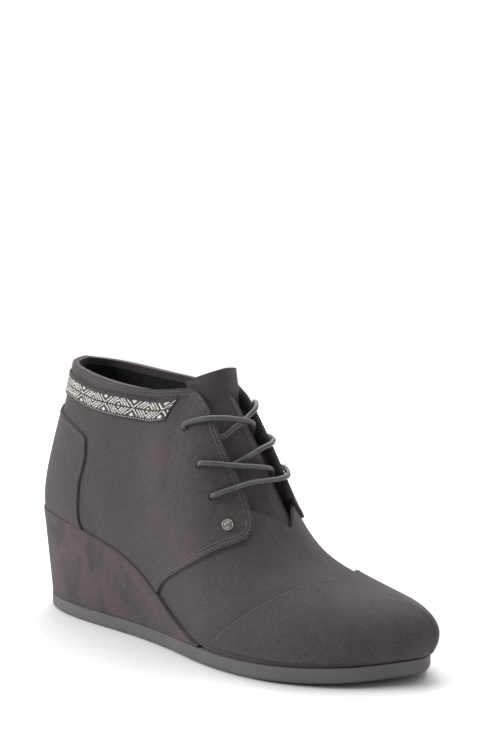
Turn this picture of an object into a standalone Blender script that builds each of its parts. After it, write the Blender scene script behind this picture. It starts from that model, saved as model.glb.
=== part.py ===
"""Wedge ankle boot with a lace-up throat, right foot. +X runs to the toe, +Y to the inner side, +Z up, in metres."""

import bmesh
import bpy
import numpy as np
from mathutils import Matrix, Vector

# Sole and wedge
SOLE_LENGTH = 0.2407
HEEL_WIDTH = 0.060
BALL_WIDTH = 0.090
SOLE_THICKNESS = 0.0076
SOLE_EDGE_ROUND = 0.0025
TOE_SPRING = 0.0037
WEDGE_RISE = 0.0495
HEEL_FLARE = 0.0040
FOOT_INSET = 0.0026
HEEL_INSET = 0.0012
FRONT_OUT = 0.0016

# Upper
COLLAR_RISE = 0.083
INSTEP_RISE = 0.0535
TOE_RISE = 0.0315
WALL = 0.0018
PANEL = 0.0010
WEAVE = 0.0006
TONGUE = 0.0020
INSOLE = 0.0022
GAP = 0.0004

# Lace and its holes
CORD_RADIUS = 0.00135
HOLE_RADIUS = 0.0020
FLAP_EASE = 0.0008
STUD_RADIUS = 0.0028
STUD_HEIGHT = 0.0011
LACE_CLEAR = 0.0008
CORD_OVER = GAP + PANEL + FLAP_EASE + LACE_CLEAR + CORD_RADIUS

# Sole outline, from the back of the heel round the outer side to the toe and back along the inner side.
# Columns: share of the sole's length, share of the local width.
SOLE_OUTLINE = (
    (0.000, 0.000), (0.010, -0.147), (0.035, -0.277), (0.080, -0.383), (0.140, -0.457), (0.220, -0.503),
    (0.320, -0.486), (0.420, -0.458), (0.500, -0.465), (0.580, -0.500), (0.660, -0.538), (0.730, -0.544),
    (0.800, -0.516), (0.860, -0.450), (0.910, -0.361), (0.950, -0.241), (0.980, -0.113), (1.000, 0.040),
    (0.986, 0.140), (0.957, 0.238), (0.917, 0.322), (0.872, 0.388), (0.818, 0.434), (0.750, 0.457),
    (0.680, 0.433), (0.600, 0.378), (0.500, 0.317), (0.400, 0.330), (0.300, 0.412), (0.210, 0.480),
    (0.140, 0.450), (0.080, 0.380), (0.035, 0.277), (0.010, 0.147),
)
TOE_ROW = 17
WIDTH_STARTS, WIDTH_ENDS = 0.2, 0.6
SPRING_STARTS = 0.62

# Top edge of the wedge. Columns: share of the sole's length, share of the wedge's rise.
WEDGE_TOP = (
    (-0.02, 1.01), (0.00, 1.00), (0.10, 0.947), (0.20, 0.865), (0.32, 0.72), (0.39, 0.57),
    (0.45, 0.385), (0.51, 0.19), (0.555, 0.085), (0.60, 0.022), (0.64, 0.0), (1.02, 0.0),
)
# How far the wedge leans out above the sole. Columns: share of the sole's length, share of the heel flare.
WEDGE_FLARE = ((0.0, 1.0), (0.05, 0.88), (0.12, 0.62), (0.25, 0.42), (0.45, 0.2), (0.60, 0.0), (1.0, 0.0))

# Sections of the upper from the sole edge up to the collar or the instep ridge.
# Columns: share of the edge from heel to toe; top point as shares of sole length, ball width and the named
# rise; then the lower and the upper handle of the section's curve, forward, out and up, as shares of its chord.
SECTIONS = (
    (0.00, 0.088, 0.000, "collar", 1.000, (-0.01, 0.00, 0.22), (-0.10, 0.00, -0.36)),
    (0.06, 0.102, 0.109, "collar", 0.989, (-0.01, 0.02, 0.22), (-0.08, 0.00, -0.36)),
    (0.13, 0.147, 0.193, "collar", 0.984, (-0.01, 0.04, 0.24), (-0.06, 0.03, -0.36)),
    (0.22, 0.234, 0.250, "collar", 0.990, (0.02, 0.05, 0.26), (-0.03, 0.03, -0.34)),
    (0.32, 0.338, 0.271, "collar", 1.036, (0.03, 0.05, 0.28), (-0.03, 0.00, -0.32)),
    (0.40, 0.426, 0.227, "collar", 1.156, (0.03, 0.04, 0.32), (-0.03, 0.09, -0.28)),
    (0.46, 0.495, 0.118, "collar", 1.336, (0.04, 0.03, 0.36), (-0.05, 0.20, -0.17)),
    (0.49, 0.521, -0.020, "collar", 1.411, (0.05, 0.03, 0.38), (-0.04, 0.25, -0.08)),
    (0.56, 0.595, -0.028, "instep", 1.815, (0.05, 0.03, 0.42), (-0.02, 0.19, -0.02)),
    (0.62, 0.661, -0.018, "instep", 1.210, (0.04, 0.03, 0.44), (0.00, 0.23, 0.00)),
    (0.68, 0.718, 0.000, "instep", 0.857, (0.03, 0.03, 0.46), (0.00, 0.28, 0.00)),
    (0.76, 0.787, 0.015, "instep", 0.661, (0.02, 0.06, 0.46), (0.00, 0.33, 0.00)),
    (0.84, 0.852, 0.032, "toe", 0.930, (0.02, 0.04, 0.50), (0.03, 0.37, 0.00)),
    (0.92, 0.897, 0.039, "toe", 0.835, (0.06, 0.16, 0.54), (0.16, 0.31, 0.00)),
    (1.00, 0.925, 0.048, "toe", 0.775, (0.34, 0.16, 0.56), (0.50, 0.00, 0.00)),
)

# Edges of the pieces on the upper's face. Columns: share along the edge, share up the section.
THROAT_EDGE = (
    (0.42, 1.00), (0.445, 0.90), (0.470, 0.79), (0.500, 0.730), (0.53, 0.690), (0.556, 0.655), (0.582, 0.645),
    (0.595, 0.665), (0.606, 0.72), (0.620, 0.81), (0.634, 0.90), (0.648, 1.00),
)
# The flaps' edges are not mirrored. Columns: share along, share up on the outer side, share up on the inner side.
FLAP_EDGE = (
    (0.000, 1.000, 1.000), (0.400, 1.000, 1.000), (0.425, 0.992, 0.990), (0.442, 0.965, 0.960),
    (0.458, 0.915, 0.921), (0.478, 0.856, 0.874), (0.514, 0.792, 0.833), (0.531, 0.760, 0.813), (0.547, 0.729, 0.790),
    (0.573, 0.709, 0.774), (0.591, 0.698, 0.771), (0.611, 0.678, 0.757),
)
COUNTER_TOP = ((0.00, 0.735), (0.06, 0.716), (0.113, 0.690), (0.160, 0.668), (0.190, 0.644), (0.211, 0.618))
WEAVE_TOP = ((0.00, 0.946), (0.082, 0.940), (0.148, 0.932), (0.226, 0.922), (0.293, 0.936), (0.348, 0.943),
             (0.435, 0.928))
WEAVE_FOOT = ((0.00, 0.812), (0.070, 0.815), (0.136, 0.812), (0.228, 0.794), (0.293, 0.799), (0.357, 0.811),
              (0.424, 0.812))
# Front edges. Columns: share up the section, share along the edge.
QUARTER_FRONT = (
    (0.00, 0.433), (0.068, 0.446), (0.126, 0.465), (0.171, 0.489), (0.246, 0.531), (0.328, 0.562),
    (0.416, 0.586), (0.536, 0.610), (0.589, 0.616), (0.633, 0.617), (0.678, 0.611),
)
COUNTER_FRONT = (
    (0.00, 0.224), (0.059, 0.215), (0.135, 0.212), (0.314, 0.212), (0.417, 0.217), (0.511, 0.221), (0.618, 0.215),
)
CAP_SEAM = (
    (0.00, 0.582), (0.03, 0.594), (0.145, 0.634), (0.266, 0.670), (0.393, 0.701), (0.522, 0.728),
    (0.677, 0.755), (0.821, 0.775), (0.92, 0.783), (1.00, 0.786),
)
# Lace holes from the top down. Columns: share along the edge, share up on the outer side and on the inner side.
HOLES = ((0.476, 0.707, 0.740), (0.521, 0.574, 0.640), (0.551, 0.522, 0.590))
STUD_AT = (0.584, 0.509)
# Cord centres of the runs from their hole: the bar reaches the other hole, a crossing run ends under the other
# flap. Columns: side, share along, share up, height off the face as a share of a cord's height on a flap.
BAR = (
    (-1, 0.563, 0.578, 1.0), (-1, 0.577, 0.669, 1.0), (-1, 0.586, 0.760, 0.55), (-1, 0.593, 0.868, 0.1),
    (1, 0.597, 0.960, 0.1), (1, 0.594, 0.860, 0.6), (1, 0.586, 0.765, 1.0), (1, 0.571, 0.680, 1.0),
)
LOWER_OUTER = (
    (-1, 0.547, 0.635, 1.0), (-1, 0.558, 0.700, 1.05), (-1, 0.566, 0.760, 0.75), (-1, 0.577, 0.860, 0.0),
    (-1, 0.583, 0.940, -0.1), (1, 0.584, 0.904, -0.25), (1, 0.584, 0.832, -0.5), (1, 0.584, 0.735, -0.5),
)
LOWER_INNER = (
    (1, 0.545, 0.720, 1.0), (1, 0.556, 0.780, 1.05), (1, 0.566, 0.860, 0.5), (1, 0.573, 0.945, -0.2),
    (-1, 0.577, 0.920, -0.3), (-1, 0.577, 0.860, -0.25), (-1, 0.571, 0.790, -0.45), (-1, 0.563, 0.690, -0.55),
)
UPPER_OUTER = (
    (-1, 0.511, 0.718, 1.0), (-1, 0.520, 0.755, 1.0), (-1, 0.531, 0.825, 0.6), (-1, 0.545, 0.950, 0.05),
    (1, 0.552, 0.930, -0.2), (1, 0.558, 0.840, -0.5), (1, 0.562, 0.742, -0.5),
)
UPPER_INNER = (
    (1, 0.500, 0.790, 1.0), (1, 0.520, 0.835, 1.0), (1, 0.533, 0.890, 0.6), (1, 0.541, 0.950, -0.2),
    (-1, 0.548, 0.950, -0.5), (-1, 0.547, 0.863, -0.5), (-1, 0.541, 0.790, -0.5), (-1, 0.537, 0.722, -0.5),
)
HOLE_STEP = (0.002, 0.008)
# The collar closes here, this far to the outer side.
COLLAR_ENDS = 0.49
CENTRE = -0.0018
THROAT_ENDS = 0.648

BODY_STEPS = 11
SEAM_SHARE = 0.0012
WEDGE_ENDS = 0.545
LEAST = 0.0003
TONGUE_FOOT, TONGUE_NECK = 0.690, 0.510
TONGUE_ARC, TONGUE_BACK, TONGUE_WRAP, TONGUE_DROP = 0.0150, 0.0190, 1.45, 0.0080
TONGUE_LEAN, TONGUE_RISE = 0.0010, 0.0048
TONGUE_SINK, TONGUE_WING = 0.0046, 0.12
COLLAR_ROW = 7
TURN_EVENED = 0.035
TURN_STEPS = ((-1.0, 0.15), (-0.5, 0.22), (0.0, 0.26), (0.5, 0.22), (1.0, 0.15))
# How deep the tongue lies under the upper's face. Columns: share along the edge, share of TONGUE_SINK.
TONGUE_DEPTH = ((0.50, 0.9), (0.53, 0.95), (0.60, 1.0), (0.640, 0.78), (0.70, 0.74))
LACE_COLOUR = (0.13, 0.132, 0.138)


def cubic(xs, ys, at):
    """Values at the given places of the smooth curve through (xs, ys); ys may have several columns."""
    xs = np.asarray(xs, float)
    ys = np.asarray(ys, float).reshape(len(xs), -1)
    h = np.diff(xs)
    slope = np.diff(ys, axis=0) / h[:, None]
    system = np.eye(len(xs))
    bend = np.zeros_like(ys)
    for i in range(1, len(xs) - 1):
        system[i, i - 1 : i + 2] = h[i - 1], 2 * (h[i - 1] + h[i]), h[i]
        bend[i] = 6 * (slope[i] - slope[i - 1])
    bend = np.linalg.solve(system, bend)
    at = np.clip(np.atleast_1d(np.asarray(at, float)), xs[0], xs[-1])
    k = np.clip(np.searchsorted(xs, at) - 1, 0, len(xs) - 2)
    a = ((xs[k + 1] - at) / h[k])[:, None]
    b = 1 - a
    hh = (h[k] ** 2 / 6)[:, None]
    return a * ys[k] + b * ys[k + 1] + ((a**3 - a) * bend[k] + (b**3 - b) * bend[k + 1]) * hh


def table(rows, at):
    """Values at the given places of a two-column table, without overshoot between its rows."""
    xs, ys = (np.array(column, float) for column in zip(*rows))
    h = np.diff(xs)
    slope = np.diff(ys) / h
    bend = np.zeros(len(xs))
    w1, w2 = 2 * h[1:] + h[:-1], h[1:] + 2 * h[:-1]
    same = slope[1:] * slope[:-1] > 0
    safe = np.where(same, slope[1:] * slope[:-1], 1)
    bend[1:-1] = np.where(same, (w1 + w2) * safe / (w1 * slope[1:] + w2 * slope[:-1] + (~same)), 0)
    bend[0], bend[-1] = slope[0], slope[-1]
    at = np.clip(np.asarray(at, float), xs[0], xs[-1])
    k = np.clip(np.searchsorted(xs, at) - 1, 0, len(xs) - 2)
    q = (at - xs[k]) / h[k]
    return (ys[k] * (1 + 2 * q) * (1 - q) ** 2 + ys[k + 1] * q * q * (3 - 2 * q)
            + h[k] * (bend[k] * q * (1 - q) ** 2 - bend[k + 1] * q * q * (1 - q)))


def ease(q):
    """0 to 1 with flat ends."""
    q = np.clip(q, 0.0, 1.0)
    return q * q * (3 - 2 * q)


def sole_width(along):
    """Local width that the outline's shares refer to."""
    return HEEL_WIDTH + (BALL_WIDTH - HEEL_WIDTH) * ease((along - WIDTH_STARTS) / (WIDTH_ENDS - WIDTH_STARTS))


def outline_halves():
    """Outer and inner half of the sole's outline, heel to toe, as dense (x, y) rows with their lengths."""
    rows = np.array(SOLE_OUTLINE)
    points = np.column_stack([rows[:, 0] * SOLE_LENGTH, rows[:, 1] * sole_width(rows[:, 0])])
    wrap = 4
    padded = np.vstack([points[-wrap:], points, points[: wrap + 1]])
    step = np.linalg.norm(np.diff(padded, axis=0), axis=1)
    along = np.concatenate([[0], np.cumsum(step)])
    along -= along[wrap]
    fine = 400
    halves = []
    for start, end in ((0, TOE_ROW), (len(points), TOE_ROW)):
        span = np.linspace(along[start + wrap], along[end + wrap], fine)
        curve = cubic(along, padded, span)
        length = np.concatenate([[0], np.cumsum(np.linalg.norm(np.diff(curve, axis=0), axis=1))])
        halves.append((length / length[-1], curve))
    return halves


HALVES = outline_halves()
TOE_FACING = HALVES[0][1][-1] - HALVES[0][1][-2]
TOE_FACING = np.array([TOE_FACING[1], -TOE_FACING[0]]) / np.linalg.norm(TOE_FACING)


def outline(side, s):
    """Sole outline at share s of its outer (side -1) or inner (side 1) half: points and outward directions."""
    share, curve = HALVES[0 if side < 0 else 1]
    tangent = np.gradient(curve, axis=0)
    tangent /= np.linalg.norm(tangent, axis=1)[:, None]
    s = np.atleast_1d(s)
    at = np.column_stack([np.interp(s, share, curve[:, k]) for k in (0, 1)])
    t = np.column_stack([np.interp(s, share, tangent[:, k]) for k in (0, 1)])
    out = np.column_stack([t[:, 1], -t[:, 0]]) * (1 if side < 0 else -1)
    out[s <= 0] = (-1, 0)
    out[s >= 1] = TOE_FACING
    return at, out / np.linalg.norm(out, axis=1)[:, None]


def spring(x):
    """Rise of the sole's underside towards the toe."""
    q = np.clip((x / SOLE_LENGTH - SPRING_STARTS) / (1 - SPRING_STARTS), 0, None)
    return TOE_SPRING * q * q


def seat(x):
    """Height of the wedge's top, and in front of it of the sole's top."""
    return SOLE_THICKNESS + spring(x) + WEDGE_RISE * table(WEDGE_TOP, x / SOLE_LENGTH)


def rim(side, s):
    """Top edge of the wedge and sole, in plan, with the outward directions."""
    at, out = outline(side, s)
    flare = HEEL_FLARE * table(WEDGE_FLARE, at[:, 0] / SOLE_LENGTH)
    return at + out * flare[:, None], out


def section_rows():
    """Top points and handles of SECTIONS as real sizes, for each row."""
    rises = {"collar": COLLAR_RISE, "instep": INSTEP_RISE, "toe": TOE_RISE}
    rows = []
    for share, along, across, size, rise, low, high in SECTIONS:
        x = along * SOLE_LENGTH
        z = seat(np.array([x]))[0] + rise * rises[size]
        rows.append((share, x, across * BALL_WIDTH, z, *low, *high))
    return np.array(rows)


def sections(side, s, t):
    """Points on the sections at shares s along the edge and t up them (arrays of one shape)."""
    s, t = np.broadcast_arrays(np.asarray(s, float), np.asarray(t, float))
    shape, s, t = s.shape, s.ravel(), t.ravel()
    rows = section_rows()
    value = cubic(rows[:, 0], rows[:, 1:], s)
    edge, out = rim(side, s)
    edge = edge - out * (FOOT_INSET + HEEL_INSET * (1 - ease(s / 0.30)) - FRONT_OUT * ease((s - 0.45) / 0.2))[:, None]
    foot = np.column_stack([edge, seat(edge[:, 0]) + GAP])
    across = np.where(s < COLLAR_ENDS, side * np.maximum(value[:, 1] - CENTRE * s / COLLAR_ENDS, 0)
                      + CENTRE * s / COLLAR_ENDS, value[:, 1])
    top = np.column_stack([value[:, 0], across, value[:, 2]])
    chord = np.linalg.norm(top - foot, axis=1)[:, None]
    plan_out = np.column_stack([out, np.zeros(len(s))])
    forward, outward, upward = np.eye(3)
    low = foot + chord * (value[:, 3:4] * forward + value[:, 4:5] * plan_out + value[:, 5:6] * upward)
    high = top + chord * (value[:, 6:7] * forward + value[:, 7:8] * side * outward + value[:, 8:9] * upward)
    t = t[:, None]
    at = foot * (1 - t) ** 3 + 3 * low * t * (1 - t) ** 2 + 3 * high * t * t * (1 - t) + top * t**3
    return at.reshape(*shape, 3)


def surface(side, s, t):
    """Outer face of the upper; the turn from the collar into the instep is evened along the edge."""
    s = np.asarray(s, float)
    reach = TURN_EVENED * ease((s - 0.36) / 0.10) * ease((0.64 - s) / 0.10)
    return sum(weight * sections(side, s + step * reach, t) for step, weight in TURN_STEPS)


def blend(a, b, q):
    return a + (b - a) * q


def sheet_of(grids):
    """Vertices and quads of one or more point grids, welded where they meet."""
    verts, faces = [], []
    for grid, flip in grids:
        n, m = grid.shape[:2]
        first = len(verts)
        verts.extend(map(tuple, grid.reshape(-1, 3)))
        for i in range(n - 1):
            for j in range(m - 1):
                a = first + i * m + j
                quad = (a, a + m, a + m + 1, a + 1)
                faces.append(quad[::-1] if flip else quad)
    bm = bmesh.new()
    made = [bm.verts.new(v) for v in verts]
    for face in faces:
        bm.faces.new([made[k] for k in face])
    bmesh.ops.remove_doubles(bm, verts=bm.verts, dist=2e-6)
    bmesh.ops.dissolve_degenerate(bm, edges=bm.edges, dist=2e-6)
    bm.normal_update()
    return bm


def shell(name, grids, outer, inner, colour):
    """Closed sheet between the two offsets of the given surface grids."""
    bm = sheet_of(grids)
    bm.verts.index_update()
    normals = [v.normal.copy() for v in bm.verts]
    base = [v.co.copy() for v in bm.verts]
    faces = [[v.index for v in f.verts] for f in bm.faces]
    border = [(l.vert.index, l.link_loop_next.vert.index) for f in bm.faces for l in f.loops if l.edge.is_boundary]
    bm.free()
    count = len(base)
    verts = [p + n * outer for p, n in zip(base, normals)] + [p + n * inner for p, n in zip(base, normals)]
    least = seat(np.array([v.x for v in verts])) + GAP
    for v, z in zip(verts, least):
        v.z = max(v.z, z)
    quads = faces + [[k + count for k in f[::-1]] for f in faces]
    quads += [[b, a, a + count, b + count] for a, b in border]
    return solid(name, verts, quads, colour)


def solid(name, verts, faces, colour, roughness=0.9):
    """Mesh object with its own material."""
    mesh = bpy.data.meshes.new(name)
    mesh.from_pydata([tuple(v) for v in verts], [], faces)
    mesh.validate()
    bm = bmesh.new()
    bm.from_mesh(mesh)
    bmesh.ops.triangulate(bm, faces=bm.faces, quad_method="SHORT_EDGE")
    bmesh.ops.recalc_face_normals(bm, faces=bm.faces)
    if bm.calc_volume(signed=True) < 0:
        bmesh.ops.reverse_faces(bm, faces=bm.faces)
    bm.to_mesh(mesh)
    bm.free()
    ob = bpy.data.objects.new(name, mesh)
    bpy.context.scene.collection.objects.link(ob)
    material = bpy.data.materials.new(name)
    material.use_nodes = True
    shader = material.node_tree.nodes["Principled BSDF"]
    shader.inputs["Base Color"].default_value = (*colour, 1)
    shader.inputs["Roughness"].default_value = roughness
    mesh.materials.append(material)
    return ob


def face_grid(side, s, t, lift=None):
    """Grid of the upper's face with its flip, ready for sheet_of()."""
    at = surface(side, s, t)
    if lift is not None:
        at = at + facing(side, s, t) * lift[..., None]
    return at, side > 0


def facing(side, s, t):
    """Outward directions of the upper's face."""
    e = 2e-3
    s, t = np.broadcast_arrays(np.asarray(s, float), np.asarray(t, float))
    along = surface(side, np.minimum(s + e, 1), t) - surface(side, np.maximum(s - e, 0), t)
    rise = surface(side, s, np.minimum(t + e, 1)) - surface(side, s, np.maximum(t - e, 0))
    n = np.cross(along, rise) * -side
    return n / np.linalg.norm(n, axis=-1, keepdims=True)


def spread(*stops):
    """Shares between stops: (first, (next, steps), ...)."""
    values = [stops[0]]
    for end, steps in stops[1:]:
        values.extend(np.linspace(values[-1], end, steps + 1)[1:])
    return np.array(values)


HEEL_LINES = spread(0.0, (0.10, 5), (0.38, 8))
TOE_LINES = spread(0.825, (1.0, 9))


def upper():
    """Hollow base of the upper, open at collar, throat and underneath."""
    s = np.concatenate([HEEL_LINES, spread(HEEL_LINES[-1], (0.605, 14), (THROAT_ENDS, 4), (TOE_LINES[0], 6))[1:-1], TOE_LINES])
    top = np.where(s < THROAT_ENDS, table(THROAT_EDGE, s), 1.0)
    v = np.linspace(0, 1, BODY_STEPS)
    grids = []
    for side in (-1, 1):
        grids.append(face_grid(side, s[:, None] + 0 * v, top[:, None] * v))
    return shell("upper", grids, 0.0, -WALL, (0.112, 0.092, 0.099))


def flap_grid(side):
    """Grid of a quarter: shares along and up, and how far the flap stands off."""
    u = np.linspace(0, 1, 14)[1:, None]
    v = np.linspace(0, 1, BODY_STEPS)
    edge_s, edge_t = FLAP_EDGE[-1][:2]
    back, front = HEEL_LINES[-1], table(QUARTER_FRONT, v * edge_t)
    heel = np.concatenate([[SEAM_SHARE], HEEL_LINES[1:]])[:, None]
    s = np.vstack([heel + 0 * v, blend(back, front, u)])
    top = flap_edge(side, np.vstack([heel, blend(back, edge_s, u)]))
    t = v * top
    return s, t, flap_lift(side, s, t)


def quarter(name, side, colour):
    s, t, lift = flap_grid(side)
    return shell(name, [face_grid(side, s, t, lift)], GAP + PANEL, GAP, colour)


def counter():
    """Heel counter, over both quarters."""
    u, v = np.linspace(0, 1, 10), np.linspace(0.01, 1, 9)
    edge_s, edge_t = COUNTER_TOP[-1]
    s = u[:, None] * table(COUNTER_FRONT, v * edge_t)[None, :]
    t = v[None, :] * table(COUNTER_TOP, u * edge_s)[:, None]
    return shell("heel_counter", [face_grid(k, s, t) for k in (-1, 1)], 2 * (GAP + PANEL), 2 * GAP + PANEL,
                 (0.108, 0.088, 0.095))


def weave():
    """Woven band below the collar, over both quarters."""
    u, v = np.linspace(0, 1, 16), np.linspace(0, 1, 3)
    ends = WEAVE_FOOT[-1][0], WEAVE_TOP[-1][0]
    s = u[:, None] * blend(*ends, v)[None, :]
    t = blend(table(WEAVE_FOOT, u * ends[0])[:, None], table(WEAVE_TOP, u * ends[1])[:, None], v[None, :])
    return shell("woven_band", [face_grid(k, s, t) for k in (-1, 1)], 2 * GAP + PANEL + WEAVE, 2 * GAP + PANEL,
                 (0.42, 0.40, 0.38))


def toe_cap():
    u, v = np.linspace(0, 1, 6)[:-1, None], np.append(0.03, np.linspace(0, 1, BODY_STEPS)[1:])
    s = np.vstack([blend(table(CAP_SEAM, v), TOE_LINES[0], u), TOE_LINES[:, None] + 0 * v])
    t = v + 0 * s
    return shell("toe_cap", [face_grid(k, s, t) for k in (-1, 1)], GAP + PANEL, GAP, (0.104, 0.086, 0.093))


def tongue():
    """Tongue under the throat, standing a little above the collar."""
    return shell("tongue", tongue_grids(9, 6, 4), 0.0, -TONGUE, (0.118, 0.097, 0.104))


def loft(name, levels, colour):
    """Solid between closed loops, capped by strips between the two sides."""
    n = len(levels[0][0])
    verts, faces = [], []
    for outer, inner in levels:
        verts.extend([*outer, *inner])
    ring = list(range(n)) + [n + k for k in range(n - 1, -1, -1)]
    for k in range(len(levels) - 1):
        lo, hi = 2 * n * k, 2 * n * (k + 1)
        for a, b in zip(ring, ring[1:] + ring[:1]):
            faces.append([lo + a, lo + b, hi + b, hi + a])
    for k, turn in ((0, 1), (len(levels) - 1, -1)):
        base = 2 * n * k
        for i in range(n - 1):
            faces.append([base + i, base + n + i, base + n + i + 1, base + i + 1][::turn])
    bm = bmesh.new()
    made = [bm.verts.new(v) for v in verts]
    for face in faces:
        bm.faces.new([made[k] for k in face])
    bmesh.ops.remove_doubles(bm, verts=bm.verts, dist=2e-6)
    bmesh.ops.dissolve_degenerate(bm, edges=bm.edges, dist=2e-6)
    bm.verts.index_update()
    verts = [v.co.copy() for v in bm.verts]
    faces = [[v.index for v in f.verts] for f in bm.faces]
    bm.free()
    return solid(name, verts, faces, colour)


def level(s, inset, height, base=outline):
    """Both sides' points at shares s, moved in by inset, at height(x)."""
    found = []
    for side in (-1, 1):
        at, out = base(side, s)
        at = at - out * inset
        found.append(np.column_stack([at, height(at[:, 0])]))
    return found


def outsole():
    s = spread(0.0, (0.12, 5), (0.75, 13), (1.0, 10))
    rows = [
        level(s, SOLE_EDGE_ROUND * 0.8, spring),
        level(s, SOLE_EDGE_ROUND * 0.25, lambda x: spring(x) + SOLE_EDGE_ROUND * 0.4),
        level(s, 0.0, lambda x: spring(x) + SOLE_EDGE_ROUND * 1.1),
        level(s, 0.0, lambda x: spring(x) + SOLE_THICKNESS),
    ]
    return loft("outsole", rows, (0.125, 0.118, 0.110))


def wedge():
    s = spread(0.0, (0.12, 6), (WEDGE_ENDS, 16))
    foot = lambda x: spring(x) + SOLE_THICKNESS + GAP
    rows = []
    for q in (0.0, 0.35, 0.7, 1.0):
        pair = []
        for side in (-1, 1):
            at, out = outline(side, s)
            top, _ = rim(side, s)
            plan = blend(at - out * GAP, top, q)
            low, high = foot(plan[:, 0]), np.maximum(seat(top[:, 0]), foot(top[:, 0]) + LEAST)
            pair.append(np.column_stack([plan, blend(low, high, q)]))
        rows.append(pair)
    return loft("wedge", rows, (0.110, 0.091, 0.098))


def insole():
    s = spread(0.0, (0.12, 5), (0.75, 11), (1.0, 8))
    inset = FOOT_INSET + HEEL_INSET + WALL + 2 * GAP
    rows = [level(s, inset, lambda x, k=k: seat(x) + 2 * GAP + k * INSOLE, rim) for k in (0.0, 1.0)]
    return loft("insole", rows, (0.02, 0.02, 0.02))


def tube(name, paths, colour, sides=6):
    """Joined cords along the given point lists."""
    made = []
    for k, path in enumerate(paths):
        path = np.array(path)
        n = len(path)
        along = cubic(np.arange(n), path, np.linspace(0, n - 1, 2 * (n - 1) + 1))
        tangent = np.gradient(along, axis=0)
        tangent /= np.linalg.norm(tangent, axis=1)[:, None]
        side = np.cross(tangent, (0.45, 0.0, 0.89))
        side /= np.linalg.norm(side, axis=1)[:, None]
        up = np.cross(side, tangent)
        turn = np.linspace(0, 2 * np.pi, sides, endpoint=False) + 0.1 * k
        ring = along[:, None] + CORD_RADIUS * (np.cos(turn)[None, :, None] * side[:, None]
                                               + np.sin(turn)[None, :, None] * up[:, None])
        verts = ring.reshape(-1, 3)
        faces = []
        for i in range(len(along) - 1):
            for j in range(sides):
                q = (j + 1) % sides
                faces.append([i * sides + j, i * sides + q, (i + 1) * sides + q, (i + 1) * sides + j])
        faces.append(list(range(sides))[::-1])
        faces.append([(len(along) - 1) * sides + j for j in range(sides)])
        made.append(solid(name if k == 0 else f"{name}_join_{k}", verts, faces, colour, 0.5))
    for other in made[1:]:
        fuse(made[0], other, "UNION")
    return made[0]


def fuse(ob, cutter, operation):
    """Boolean with a hidden helper."""
    modifier = ob.modifiers.new(operation.lower(), "BOOLEAN")
    modifier.operation = operation
    modifier.solver = "EXACT"
    modifier.object = cutter
    cutter.hide_render = True
    cutter.display_type = "WIRE"


def on_face(side, s, t, off):
    """One point off the upper's face."""
    s, t = np.array([s]), np.array([t])
    return (surface(side, s, t) + facing(side, s, t) * off)[0]


def flap_edge(side, s):
    """Share up of a flap's free edge."""
    return table([(row[0], row[1] if side < 0 else row[2]) for row in FLAP_EDGE], s)


def flap_lift(side, s, t):
    """How far a flap eases off the upper towards its edge."""
    along = ease((s - 0.445) / 0.05) * ease((0.640 - s) / 0.05)
    return FLAP_EASE * along * ease((t / flap_edge(side, s) - 0.10) / 0.40)


def tongue_grids(rows, columns, more):
    """Outer face of the tongue, both sides: under the throat, then rising to its free top."""
    s = np.linspace(TONGUE_FOOT, TONGUE_NECK, rows)
    v = np.linspace(0, 1, columns)
    _, x, y, z = section_rows()[COLLAR_ROW][:4]
    low = np.interp(s, (TONGUE_NECK, 0.58, TONGUE_FOOT), (0.66, 0.56, 0.78))[:, None]
    t = low + (1 - low) * v
    sink = (table(TONGUE_DEPTH, s) * TONGUE_SINK)[:, None] * (1 + TONGUE_WING * (1 - v))
    grids = [surface(side, s[:, None], t) - facing(side, s[:, None], t) * sink[..., None] for side in (-1, 1)]
    ridge = (grids[0][:, -1] + grids[1][:, -1]) / 2
    made = []
    for side, at in zip((-1, 1), grids):
        at[:, -1] = ridge
        turn = (1 - v) * TONGUE_WRAP
        brim = np.column_stack([x + TONGUE_LEAN - TONGUE_BACK * (1 - np.cos(turn)), y + side * TONGUE_ARC * np.sin(turn),
                                z + TONGUE_RISE - TONGUE_DROP * (1 - np.cos(turn))])
        top = [blend(at[-1], brim, np.array([q, q**0.4, q])) for q in np.linspace(0, 1, more + 1)[1:]]
        made.append((np.concatenate([at, top]), side < 0))
    return made


def hole_at(side, k):
    """Shares along and up of lace hole k."""
    return HOLES[k][0], HOLES[k][1 if side < 0 else 2]


def cord(side, rows, k):
    """Cord centres from hole k along the rows of a run."""
    s, t = hole_at(side, k)
    rows = [(side, s + HOLE_STEP[0], t + HOLE_STEP[1], 1.0), *rows]
    return [on_face(at, s, t, height * CORD_OVER) for at, s, t, height in rows]


def lace():
    """Lace runs over the throat: one straight bar and two crossings, each one solid."""
    bar = cord(-1, BAR, 2) + cord(1, (), 2)
    made = [tube("lace_bar", [bar], LACE_COLOUR)]
    for name, k, outer, inner in (("lace_cross_lower", 1, LOWER_OUTER, LOWER_INNER),
                                  ("lace_cross_upper", 0, UPPER_OUTER, UPPER_INNER)):
        made.append(tube(name, [cord(-1, outer, k), cord(1, inner, k)], LACE_COLOUR))
    return made


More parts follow.
